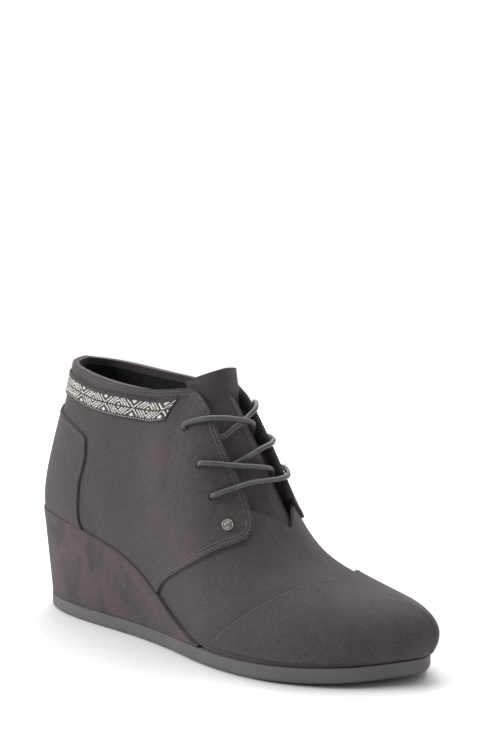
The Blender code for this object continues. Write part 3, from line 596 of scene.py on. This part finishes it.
def ramp(tree, factor, *stops):
    node = node_of(tree, "ValToRGB")
    while len(node.color_ramp.elements) < len(stops):
        node.color_ramp.elements.new(0.5)
    for element, (position, colour) in zip(node.color_ramp.elements, stops):
        element.position = position
        element.color = (*colour, 1)
    tree.links.new(factor, node.inputs["Fac"])
    return node.outputs["Color"]


def greys(tree, factor, *stops):
    return ramp(tree, factor, *((position, (value,) * 3) for position, value in stops))


def multiplied(tree, a, b):
    """Product of two colour sockets."""
    node = node_of(tree, "Mix")
    node.data_type = "RGBA"
    node.blend_type = "MULTIPLY"
    sockets = {i.identifier: i for i in node.inputs}
    sockets["Factor_Float"].default_value = 1.0
    tree.links.new(a, sockets["A_Color"])
    tree.links.new(b, sockets["B_Color"])
    return next(o for o in node.outputs if o.identifier == "Result_Color")


def bumps(tree, shader, *heights):
    """Bumps in a chain. Each is a height socket, its depth in metres and a strength."""
    last = None
    for height, depth, strength in heights:
        node = node_of(tree, "Bump", Distance=depth, Strength=strength)
        tree.links.new(height, node.inputs["Height"])
        if last is not None:
            tree.links.new(last, node.inputs["Normal"])
        last = node.outputs["Normal"]
    tree.links.new(last, shader.inputs["Normal"])


def suede(name, colour, blotch=0.10, patch=0.022):
    """Split leather: an even tone with soft darker nap patches, short fibres and a dull bloom."""
    material, tree, shader = nodes_of(name, colour, 0.95, Sheen_Weight=0.12, Sheen_Roughness=0.5,
                                      Specular_IOR_Level=0.12)
    shader.inputs["Sheen Tint"].default_value = (0.90, 0.84, 0.87, 1)
    brushed = coordinates(tree, (1.0, 1.3, 0.6), (0.3, 0.5, 0.2))
    deep = tuple(c * (1 - blotch) for c in colour)
    rosy = (min(1, colour[0] * (1 + 0.55 * blotch)), colour[1], min(1, colour[2] * (1 + 0.2 * blotch)))
    tone = ramp(tree, noise(tree, patch, 3.0, 0.5, 0.6, brushed), (0.32, deep), (0.55, colour), (0.80, rosy))
    cloud = greys(tree, noise(tree, 0.005, 3.0, 0.6, 0.4), (0.30, 0.95), (0.70, 1.05))
    fibre = greys(tree, noise(tree, 0.0006, 2.0, 0.7), (0.28, 0.62), (0.72, 1.36))
    tree.links.new(multiplied(tree, multiplied(tree, tone, cloud), fibre), shader.inputs["Base Color"])
    strokes = coordinates(tree, (1.0, 1.0, 0.45), (0.2, 0.7, 0.4))
    bumps(tree, shader, (noise(tree, 0.0035, 2.0, 0.5), 0.00022, 0.35),
          (noise(tree, 0.0007, 3.0, 0.7, 0.3, strokes), 0.00018, 0.9))
    return material


def cloth(name, colour, light):
    """Dark knitted lining."""
    material, tree, shader = nodes_of(name, colour, 0.95, Sheen_Weight=0.10, Specular_IOR_Level=0.12)
    tone = ramp(tree, noise(tree, 0.004, 3.0, 0.6), (0.3, colour), (0.75, light))
    thread = greys(tree, noise(tree, 0.0006, 1.0, 0.5), (0.3, 0.6), (0.7, 1.3))
    tree.links.new(multiplied(tree, tone, thread), shader.inputs["Base Color"])
    bumps(tree, shader, (noise(tree, 0.0007, 2.0, 0.6), 0.00015, 0.8))
    return material


def rubber_material():
    material, tree, shader = nodes_of("rubber", (0.125, 0.122, 0.115), 0.62, Specular_IOR_Level=0.35)
    tone = ramp(tree, noise(tree, 0.020, 3.0, 0.5, 0.5), (0.3, (0.118, 0.112, 0.111)),
                (0.7, (0.138, 0.131, 0.130)))
    fine = greys(tree, noise(tree, 0.0011, 2.0, 0.6), (0.3, 0.93), (0.7, 1.05))
    tree.links.new(multiplied(tree, tone, fine), shader.inputs["Base Color"])
    rough = greys(tree, noise(tree, 0.008, 2.0, 0.5), (0.3, 0.55), (0.7, 0.70))
    tree.links.new(rough, shader.inputs["Roughness"])
    bumps(tree, shader, (noise(tree, 0.0009, 2.0, 0.6), 0.00004, 0.6))
    return material


def thread(name, colour, light):
    material, tree, shader = nodes_of(name, colour, 0.75, Sheen_Weight=0.15, Specular_IOR_Level=0.3)
    tone = ramp(tree, noise(tree, 0.0012, 1.0, 0.5), (0.35, colour), (0.65, light))
    tree.links.new(tone, shader.inputs["Base Color"])
    bumps(tree, shader, (noise(tree, 0.0003, 1.0, 0.5), 0.00008, 0.7))
    return material


def lace_material():
    """Waxed braided cord; its mesh runs 1 round and its length in cord widths along the map."""
    material, tree, shader = nodes_of("lace", (0.080, 0.080, 0.088), 0.46, Specular_IOR_Level=0.45,
                                      Coat_Weight=0.12, Coat_Roughness=0.35)
    braid = node_of(tree, "TexWave", Scale=2.2, Distortion=0.6)
    braid.bands_direction = "DIAGONAL"
    tree.links.new(coordinates(tree, source="UV"), braid.inputs["Vector"])
    tone = ramp(tree, noise(tree, 0.006, 2.0, 0.5), (0.3, (0.066, 0.066, 0.074)), (0.7, (0.098, 0.098, 0.106)))
    shade = greys(tree, braid.outputs["Fac"], (0.1, 0.86), (0.8, 1.06))
    tree.links.new(multiplied(tree, tone, shade), shader.inputs["Base Color"])
    bumps(tree, shader, (braid.outputs["Fac"], 0.00010, 0.6), (noise(tree, 0.0005, 1.0, 0.5), 0.00005, 0.5))
    return material


def metal_material():
    material, tree, shader = nodes_of("pewter", (0.30, 0.285, 0.265), 0.42, Metallic=0.9)
    tone = ramp(tree, noise(tree, 0.0015, 2.0, 0.5), (0.3, (0.24, 0.23, 0.21)), (0.7, (0.38, 0.36, 0.33)))
    tree.links.new(tone, shader.inputs["Base Color"])
    bumps(tree, shader, (noise(tree, 0.0008, 2.0, 0.6), 0.00005, 0.5))
    return material


SUEDE = suede("suede", MAUVE)
WEDGE_SUEDE = suede("wedge_suede", (0.094, 0.078, 0.084), 0.24, 0.012)
EDGE = suede("suede_edge", (0.098, 0.083, 0.089), 0.08, 0.008)
LINING = cloth("lining", (0.014, 0.014, 0.015), (0.030, 0.029, 0.030))
RUBBER = rubber_material()
THREAD = thread("thread", (0.125, 0.108, 0.116), (0.190, 0.170, 0.180))
PALE_THREAD = thread("pale_thread", (0.34, 0.31, 0.32), (0.50, 0.47, 0.48))
CREAM = thread("woven_cream", (0.50, 0.47, 0.43), (0.80, 0.76, 0.70))
GROUND = thread("woven_ground", (0.022, 0.016, 0.020), (0.055, 0.043, 0.049))
LACE = lace_material()
PEWTER = metal_material()
LINED = SUEDE, LINING, EDGE
UNLINED = SUEDE, SUEDE, EDGE


# Upper and its overlays
def upper():
    s = np.concatenate([spread(0.0, (0.10, 26), (0.42, 60)),
                        spread(0.42, (0.595, 52), (THROAT_ENDS, 26), (0.86, 60), (1.0, 44))[1:]])
    top = np.where(s < THROAT_ENDS - 1e-9, table(THROAT_EDGE, s), 1.0)
    v = spread(0.0, (0.92, 50), (1.0, 14))
    grids = [grid_of(side, s[:, None] + 0 * v, top[:, None] * v) for side in (-1, 1)]
    holes = [on_face(side, *hole_at(side, k), 0.0) for side in (-1, 1) for k in range(len(HOLES))]
    ob = shell("upper_base", grids, 0.0, -WALL, LINED, ("upper",), holes=holes)
    collar = spread(0.0, (0.44, 160))
    line = np.concatenate([surface(side, collar, 1 + 0 * collar) for side in (-1, 1)]) + SHIFT
    for face in ob.data.polygons:
        if face.material_index == 1 and face.center.z > 0.10:
            if np.linalg.norm(line - np.array(face.center), axis=1).min() < FACING_STRIP:
                face.material_index = 0
    return ob


def rolled_lining():
    """The padded lining that shows along the inner flap's free edge, from the collar down to the vamp."""
    s = spread(ROLL_STARTS, (ROLL_FREE, 14), (ROLL_ENDS, 60))
    t = flap_edge(1, s) + ROLL_SHIFT
    back = ease((s - ROLL_STARTS) / 0.05)
    line = place(1, s, np.minimum(t, 1.0), -(ROLL_DEPTH + ROLL_SINK * back))
    wide = ROLL_RADIUS * (0.55 + 0.45 * back) * (0.62 + 0.38 * ease((ROLL_ENDS - s) / 0.02))
    line = np.array([line[0] - (line[1] - line[0]) * 0.5, *line, line[-1] + (line[-1] - line[-2]) * 0.35])
    wide = np.array([wide[0] * 0.3, *wide, wide[-1] * 0.3])
    return tube("lining_roll", line, wide, LINING)


def quarter(side, name, node):
    u = spread(0.0, (1.0, 76))[1:, None]
    v = spread(0.0, (1.0, 58))
    edge_s, edge_t = FLAP_EDGE[-1][:2]
    front = table(QUARTER_FRONT, v * edge_t)
    heel = np.append(SEAM_SHARE, spread(0.0, (0.10, 22), (QUARTER_BACK, 46))[1:])[:, None]
    s = np.vstack([heel + 0 * v, blend(QUARTER_BACK, front, u)])
    top = flap_edge(side, np.vstack([heel, blend(QUARTER_BACK, edge_s, u)]))
    t = v * top
    grid = grid_of(side, s, t, flap_lift(side, s, t))
    holes = [hole(side, k, 0.0) for k in range(len(HOLES))]
    return shell(name, [grid], GAP + PANEL, CLOSE, LINED, (node,), holes=holes)


def counter():
    u, v = spread(0.0, (1.0, 60)), spread(0.01, (1.0, 50))
    edge_s, edge_t = COUNTER_TOP[-1]
    s = u[:, None] * table(COUNTER_FRONT, v * edge_t)[None, :]
    t = v[None, :] * table(COUNTER_TOP, u * edge_s)[:, None]
    return shell("counter", [grid_of(k, s, t) for k in (-1, 1)], 2 * GAP + 2 * PANEL, GAP + PANEL + CLOSE,
                 UNLINED, ("heel_counter",))


def toe_cap():
    u, v = spread(0.0, (1.0, 34))[:-1, None], np.append(0.02, spread(0.0, (1.0, 60))[1:])
    tips = spread(0.86, (1.0, 52))
    s = np.vstack([blend(table(CAP_SEAM, v), tips[0], u), tips[:, None] + 0 * v])
    t = v + 0 * s
    grids = [grid_of(k, s, t) for k in (-1, 1)]
    return shell("cap", grids, GAP + PANEL, CLOSE, UNLINED, ("toe_cap",))


# One quarter of the band's repeat, from the middle of a cross to the middle of a lozenge along,
# and from the band's middle line outwards down the rows. A mark is a pale float over the dark ground.
CHART = (
    "##...##..##..##...##",
    ".##...##..##..##...#",
    "..##...##..##..##...",
    "...##...##..##..##..",
    "....##...##..##..##.",
    "#....##...##..##..##",
    "##....##...##..##..#",
    "###....##...##..##..",
    "##......#....##..#..",
)
CELL = 0.0005


def weave():
    """Band with its woven pattern: each marked cell of the chart gives its faces the pale thread over the dark
    ground.
    """
    ends = WEAVE_FOOT[-1][0], WEAVE_TOP[-1][0]
    columns, rows = 232, 28
    u, v = spread(0.0, (1.0, columns)), spread(0.0, (1.0, rows))
    s = u[:, None] * blend(*ends, v)[None, :]
    t = blend(table(WEAVE_FOOT, u * ends[0])[:, None], table(WEAVE_TOP, u * ends[1])[:, None], v[None, :])
    grids = [grid_of(k, s, t) for k in (-1, 1)]
    ob = shell("band", grids, 2 * GAP + PANEL + WEAVE, GAP + PANEL + CLOSE, (GROUND, GROUND, EDGE),
               ("woven_band",), bevel=0.0)
    ob.data.materials.append(CREAM)
    lengths = [run_of(grid[:, rows // 2]) for grid, _ in grids]
    index = np.array([p.material_index for p in ob.data.polygons])
    half, height = len(CHART[0]), len(CHART)
    k = 0
    for length in lengths:
        for i in range(columns):
            column = int((length[i] + length[i + 1]) / 2 / CELL) % (2 * half)
            column = min(column, 2 * half - 1 - column)
            for j in range(rows):
                row = int(abs(j - rows // 2 + 0.5) - 0.5)
                if 0 < row <= height and CHART[row - 1][column] == "#":
                    index[k] = 3
                k += 1
    ob.data.polygons.foreach_set("material_index", index.tolist())
    return ob


def tongue():
    return shell("tongue_padded", tongue_grids(44, 26, 12), 0.0, -TONGUE, LINED, ("tongue",),
                 bevel=TONGUE_EDGE)


# Sole, wedge and insole
def level(s, inset_by, height, base=outline):
    """Both sides' points at shares s, moved in, at height(x)."""
    found = []
    for side in (-1, 1):
        at, out = base(side, s)
        at = at - out * inset_by
        found.append(np.column_stack([at, height(at[:, 0])]))
    return found


def loft(name, levels, material, nodes, sharp=38, across=14):
    """Solid between closed loops, its ends filled by rows of points from side to side."""
    n = len(levels[0][0])
    verts, faces = [], []
    ring = list(range(n)) + [n + k for k in range(n - 1, -1, -1)]
    for outer, inner in levels:
        verts.extend([*outer, *inner])
    for k in range(len(levels) - 1):
        lo, hi = 2 * n * k, 2 * n * (k + 1)
        for a, b in zip(ring, ring[1:] + ring[:1]):
            faces.append([lo + a, lo + b, hi + b, hi + a])
    for k, turn in ((0, 1), (len(levels) - 1, -1)):
        base = 2 * n * k
        rows = [[base + i for i in range(n)]]
        for j in range(1, across):
            rows.append(list(range(len(verts), len(verts) + n)))
            verts.extend(blend(np.array(levels[k][0]), np.array(levels[k][1]), j / across))
        rows.append([base + n + i for i in range(n)])
        for a, b in zip(rows, rows[1:]):
            for i in range(n - 1):
                faces.append([a[i], b[i], b[i + 1], a[i + 1]][::turn])
    bm = bmesh.new()
    made = [bm.verts.new(v) for v in verts]
    for face in faces:
        bm.faces.new([made[k] for k in face])
    weld(bm)
    bmesh.ops.recalc_face_normals(bm, faces=bm.faces)
    bm.verts.index_update()
    verts = np.array([v.co[:] for v in bm.verts])
    faces = [[v.index for v in f.verts] for f in bm.faces]
    bm.free()
    return finish_mesh(name, verts, faces, (material,), None, sharp, nodes)


SOLE_LINES = spread(0.0, (0.12, 34), (0.75, 100), (1.0, 64))


def outsole():
    """Rubber sole: round lower edge, upright side and a fine lip along the top."""
    s = SOLE_LINES
    r = SOLE_EDGE_ROUND
    rows = []
    for turn in np.linspace(0, math.pi / 2, 7):
        rise = r * (1 - math.cos(turn))
        rows.append(level(s, r * (1 - math.sin(turn)) * 0.9, lambda x, h=rise: spring(x) + h))
    lip = 0.0004
    for inset_by, drop in ((0.0, 0.0030), (0.0001, 0.0012), (0.0, 0.0005), (0.0001, 0.00015), (lip, 0.0)):
        rows.append(level(s, inset_by, lambda x, d=drop: spring(x) + SOLE_THICKNESS - d))
    return loft("sole_rubber", rows, RUBBER, ("outsole",))


def wedge():
    """Suede-covered wedge, its cover folded in over the top edge."""
    s = spread(0.0, (0.12, 40), (WEDGE_ENDS + 0.02, 120))
    foot = lambda x: spring(x) + SOLE_THICKNESS + CLOSE
    fold = 0.0009
    rows = []
    side_rows = ((0.0, 0.0007, 0.0), (0.012, 0.0003, 0.0), (0.25, 0.0003, 0.0), (0.5, 0.0002, 0.0),
                 (0.75, 0.0001, 0.0))
    fold_rows = ((1.0, 0.0, 1.0), (1.0, 0.10, 0.55), (1.0, 0.35, 0.2), (1.0, 1.0, 0.0))
    for q, inset_by, drop in side_rows + fold_rows:
        pair = []
        for side in (-1, 1):
            at, out = outline(side, s)
            top, _ = rim(side, s)
            moved = inset_by * fold if q == 1.0 else inset_by
            plan = blend(at, top, q) - out * moved
            low, high = foot(plan[:, 0]), np.maximum(seat(top[:, 0]), foot(top[:, 0]) + 0.0003)
            height = blend(low, high, q) - drop * np.minimum(fold, (high - low) * 0.4)
            pair.append(np.column_stack([plan, height]))
        rows.append(pair)
    return loft("wedge_cover", rows, WEDGE_SUEDE, ("wedge",), sharp=50)


def insole():
    s = SOLE_LINES
    edge = FOOT_INSET + WALL + 0.0012
    rows = []
    for inset_by, share in ((0.0004, 0.0), (0.0, 0.3), (0.0, 0.75), (0.0005, 1.0)):
        rows.append(level(s, edge + inset_by, lambda x, k=share: seat(x) + 2 * GAP + k * INSOLE, rim))
    return loft("footbed", rows, LINING, ("insole",))


# Lace
def on_face(side, s, t, off):
    return place(side, np.array([s]), np.array([t]), off)[0]


def hole_at(side, k):
    """Shares along and up of lace hole k."""
    return HOLES[k][0], HOLES[k][1 if side < 0 else 2]


def hole(side, k, off):
    s, t = hole_at(side, k)
    return on_face(side, s, t, flap_lift(side, s, t) + off)


def cord(side, rows, k):
    """Cord centres from hole k along the rows of a run."""
    s, t = hole_at(side, k)
    rows = [(side, s + HOLE_STEP[0], t + HOLE_STEP[1], HOLE_HEIGHT), *rows]
    return [on_face(at, s, t, height * (CORD_OVER - CORD_SINK if height > 0.9 else CORD_OVER))
            for at, s, t, height in rows]


def lace_path():
    """The one lace from the top outer hole down to the bar and up to the top inner hole."""
    def through(side, k):
        return [hole(side, k, BEHIND_HOLE), hole(side, k, BEFORE_HOLE)]

    path = through(-1, 0) + cord(-1, UPPER_OUTER, 0) + through(1, 1) + cord(1, LOWER_INNER, 1) + through(-1, 2)
    path += cord(-1, BAR, 2) + cord(1, (), 2) + through(1, 2)[::-1]
    path += cord(-1, LOWER_OUTER, 1)[::-1] + through(-1, 1)[::-1]
    path += cord(1, UPPER_INNER, 0)[::-1] + through(1, 0)[::-1]
    return np.array(path)


def smooth_line(points, step):
    """Even points on the smooth curve through the given ones."""
    points = np.asarray(points, float)
    along = np.concatenate([[0], np.cumsum(np.sqrt(np.linalg.norm(np.diff(points, axis=0), axis=1)))])
    dense = cubic(along, points, np.linspace(0, along[-1], 40 * len(points)))
    length = run_of(dense)
    at = np.linspace(0, length[-1], max(int(length[-1] / step), 2) + 1)
    return np.column_stack([np.interp(at, length, dense[:, k]) for k in range(3)])


def tube(name, line, radii, material, nodes=(), sides=14):
    """Round cord along a line, mapped 1 round and its length in cord widths."""
    tangent = np.gradient(line, axis=0)
    tangent /= np.linalg.norm(tangent, axis=1)[:, None]
    side = np.cross(tangent[0], (0.45, 0.0, 0.89))
    rings = []
    for p, t, radius in zip(line, tangent, np.broadcast_to(radii, len(line))):
        side = side - t * (side @ t)
        side /= np.linalg.norm(side)
        up = np.cross(t, side)
        turn = np.linspace(0, 2 * math.pi, sides, endpoint=False)[:, None]
        rings.append(p + radius * (np.cos(turn) * side + np.sin(turn) * up))
    verts = np.concatenate(rings)
    n = len(line)
    faces = ring_faces(n, sides)
    faces += [list(range(sides))[::-1], [(n - 1) * sides + j for j in range(sides)]]
    ob = finish_mesh(name, verts, faces, (material,), None, 50, nodes)
    step = np.linalg.norm(line[1] - line[0]) / (2 * np.max(radii))
    uv = ob.data.uv_layers.new(name="UVMap")
    values = []
    for i in range(n - 1):
        for j in range(sides):
            values += [(j / sides, i * step), ((j + 1) / sides, i * step), ((j + 1) / sides, (i + 1) * step),
                       (j / sides, (i + 1) * step)]
    values += [(0.5, 0.5)] * (2 * sides)
    uv.data.foreach_set("uv", np.array(values, float).ravel())
    return ob


def lace():
    return tube("lace", smooth_line(lace_path(), 0.0007), CORD_RADIUS, LACE,
                ("lace_bar", "lace_cross_lower", "lace_cross_upper"))


# Stitches
def stitches(name, rows, length=0.0010, pitch=0.0015, radius=0.00026, material=THREAD):
    """Raised stitches along rows of (points, outward directions), joined in one piece."""
    rings = ((-1.0, 0.0), (-0.82, 0.7), (-0.4, 1.0), (0.4, 1.0), (0.82, 0.7), (1.0, 0.0))
    sides = 6
    template = []
    for along, wide in rings:
        for j in range(sides):
            turn = 2 * math.pi * j / sides
            template.append((along * length / 2, wide * radius * math.cos(turn),
                             radius * (0.9 * wide * math.sin(turn) + 0.35 * (1 - along * along))))
    faces = np.array(ring_faces(len(rings), sides))
    template = np.array(template)
    verts, every = [], []
    for points, outs in rows:
        run = run_of(points)
        for at in np.arange(pitch / 2, run[-1], pitch):
            c, a, b, n = (np.array([np.interp(at + d, run, source[:, k]) for k in range(3)])
                          for d, source in ((0, points), (-length / 2, points), (length / 2, points), (0, outs)))
            t = (b - a) / np.linalg.norm(b - a)
            side = np.cross(n, t)
            side /= np.linalg.norm(side)
            n = np.cross(t, side)
            first = len(verts) * len(template)
            verts.append(c + template @ np.array([t, side, n]))
            every.append(faces + first)
    return finish_mesh(name, np.concatenate(verts), np.concatenate(every).tolist(), (material,), None, 80)


def row_on(side, line, off, lifted=False):
    """A row on the face: its points and outward directions."""
    s, t = line.T
    height = off + (flap_lift(side, s, t) if lifted else 0.0)
    return place(side, s, t, height), facing(side, s, t)


def quarter_edge(side):
    """The quarter's free edge in (s, t): along the collar, over the flap's corner and down its front."""
    s = spread(0.0, (0.40, 60), (FLAP_EDGE[-1][0], 70))
    top = np.column_stack([s, flap_edge(side, s)])
    t = spread(FLAP_EDGE[-1][1], (QUARTER_FOOT, 90))[1:]
    return np.vstack([top, np.column_stack([table(QUARTER_FRONT, t), t * top[-1, 1] / FLAP_EDGE[-1][1]])])


def evened(line):
    """The line smoothed a little, so that its insets don't fold at corners."""
    for _ in range(6):
        line[1:-1] = (line[:-2] + 2 * line[1:-1] + line[2:]) / 4
    return line


def seams():
    outer = GAP + PANEL
    for side, name in ((-1, "outer"), (1, "inner")):
        edge = evened(quarter_edge(side))
        rows = [row_on(side, inset(side, edge, -d), outer, True) for d in (0.0014, 0.0030)]
        stitches(f"stitches_quarter_{name}", rows)
        v = spread(0.02, (1.0, 120))
        cap = np.column_stack([table(CAP_SEAM, v), v])
        stitches(f"stitches_cap_{name}", [row_on(side, inset(side, cap, -0.0014), outer)])
        v = spread(0.02, (COUNTER_TOP[-1][1], 60))
        front = np.column_stack([table(COUNTER_FRONT, v), v])
        u = spread(COUNTER_TOP[-1][0], (0.0, 60))[1:]
        back = np.vstack([front, np.column_stack([u, table(COUNTER_TOP, u)])])
        stitches(f"stitches_counter_{name}", [row_on(side, inset(side, evened(back), 0.0014), 2 * outer)])
        u = spread(0.0, (1.0, 140))
        low = np.column_stack([u * WEAVE_FOOT[-1][0], table(WEAVE_FOOT, u * WEAVE_FOOT[-1][0])])
        stitches(f"stitches_band_{name}", [row_on(side, inset(side, low, 0.0009), outer + GAP + WEAVE)],
                 0.0009, 0.0017, 0.0003, PALE_THREAD)


def stud():
    """Plain round stud with a rolled rim, low on the outer quarter."""
    hs, ht = STUD_AT
    base = on_face(-1, hs, ht, flap_lift(-1, hs, ht) + GAP + PANEL)
    out = Vector(facing(-1, np.array([hs]), np.array([ht]))[0])
    turn = np.array(out.to_track_quat("Z", "Y").to_matrix())
    profile = [(1.0, 0.0), (1.0, 0.45), (0.95, 0.75), (0.85, 0.85), (0.76, 0.70), (0.70, 0.55), (0.55, 0.72),
               (0.35, 0.90), (0.15, 0.98), (0.0, 1.0)]
    sides = 40
    verts = []
    for r, h in profile:
        for j in range(sides):
            a = 2 * math.pi * j / sides
            verts.append((r * STUD_RADIUS * math.cos(a), r * STUD_RADIUS * math.sin(a), h * STUD_HEIGHT * 1.25))
    verts = np.array(verts) @ turn.T + base
    faces = ring_faces(len(profile), sides)
    faces.append(list(range(sides))[::-1])
    return finish_mesh("stud_round", verts, faces, (PEWTER,), None, 60, ("stud",))


# Camera at the photograph's angle
PHOTO_WIDTH, PHOTO_HEIGHT = 480, 736
FOCAL_PIXELS = 1381.9
AZIMUTH, ELEVATION, DISTANCE = math.radians(41.5), math.radians(10.2), 0.6986
AIM = Vector(np.array([0.118, 0.0, 0.070]) + SHIFT)
AIM_PIXEL = (219.9, 500.1)
# The white wall behind the boot, and how bright the room is on the other side
BACKDROP = (-0.66, 0.75, 0.0)
ROOM_LIGHT = 0.22
FLOOR_RADIUS = 1.1


def aimed(name, data, at, direction):
    """Object at a place, looking along the direction."""
    ob = add(name, data)
    ob.location = at
    ob.rotation_mode = "QUATERNION"
    ob.rotation_quaternion = direction.to_track_quat("-Z", "Y")
    return ob


def camera():
    data = bpy.data.cameras.new("camera")
    data.sensor_width = 36
    data.lens = FOCAL_PIXELS * data.sensor_width / PHOTO_HEIGHT
    data.shift_x = (PHOTO_WIDTH / 2 - AIM_PIXEL[0]) / PHOTO_HEIGHT
    data.shift_y = (AIM_PIXEL[1] - PHOTO_HEIGHT / 2) / PHOTO_HEIGHT
    level_share = math.cos(ELEVATION)
    back = Vector((math.sin(AZIMUTH) * level_share, -math.cos(AZIMUTH) * level_share, math.sin(ELEVATION)))
    data.clip_start, data.clip_end = 0.01, 20
    bpy.context.scene.camera = aimed("camera", data, AIM + back * DISTANCE, -back)


def area_light(name, at, target, size, power):
    data = bpy.data.lights.new(name, "AREA")
    data.shape = "RECTANGLE"
    data.size, data.size_y = size
    data.energy = power
    aimed(name, data, at, Vector(target) - Vector(at))


def studio():
    mesh = bpy.data.meshes.new("floor")
    turn = np.linspace(0, 2 * math.pi, 96, endpoint=False)
    edge = np.column_stack([np.cos(turn), np.sin(turn), 0 * turn]) * FLOOR_RADIUS
    mesh.from_pydata(edge.tolist(), [], [list(range(len(edge)))])
    floor = add("floor", mesh)
    material, _, _ = nodes_of("floor", (0.95, 0.95, 0.95), 0.9, Specular_IOR_Level=0.05)
    mesh.materials.append(material)
    world = bpy.data.worlds.new("studio")
    bpy.context.scene.world = world
    world.use_nodes = True
    tree = world.node_tree
    where = node_of(tree, "TexCoord")
    across = node_of(tree, "VectorMath")
    across.operation = "DOT_PRODUCT"
    across.inputs[1].default_value = BACKDROP
    tree.links.new(where.outputs["Generated"], across.inputs[0])
    shade = node_of(tree, "MapRange", From_Min=-0.25, From_Max=0.45, To_Min=ROOM_LIGHT, To_Max=1.0)
    tree.links.new(across.outputs["Value"], shade.inputs["Value"])
    tree.links.new(shade.outputs["Result"], tree.nodes["Background"].inputs["Strength"])
    tree.nodes["Background"].inputs["Color"].default_value = (1, 1, 1, 1)
    area_light("key", (-0.95, -1.05, 0.95), (0, 0, 0.05), (0.8, 0.8), 18)
    area_light("fill", (1.00, -0.75, 0.75), (0.02, 0, 0.05), (0.6, 0.6), 0.6)
    area_light("top", (0.0, 0.35, 1.5), (0, 0, 0.0), (1.2, 1.2), 12)
    area_light("far", (-0.75, 1.0, 1.3), (-0.75, 1.0, 0.0), (1.2, 1.2), 16)
    bpy.context.scene.view_settings.view_transform = "Standard"


camera()
studio()
upper()
rolled_lining()
quarter(-1, "quarter_outer_suede", "quarter_outer")
quarter(1, "quarter_inner_suede", "quarter_inner")
counter()
weave()
toe_cap()
tongue()
outsole()
wedge()
insole()
lace()
stud()
seams()
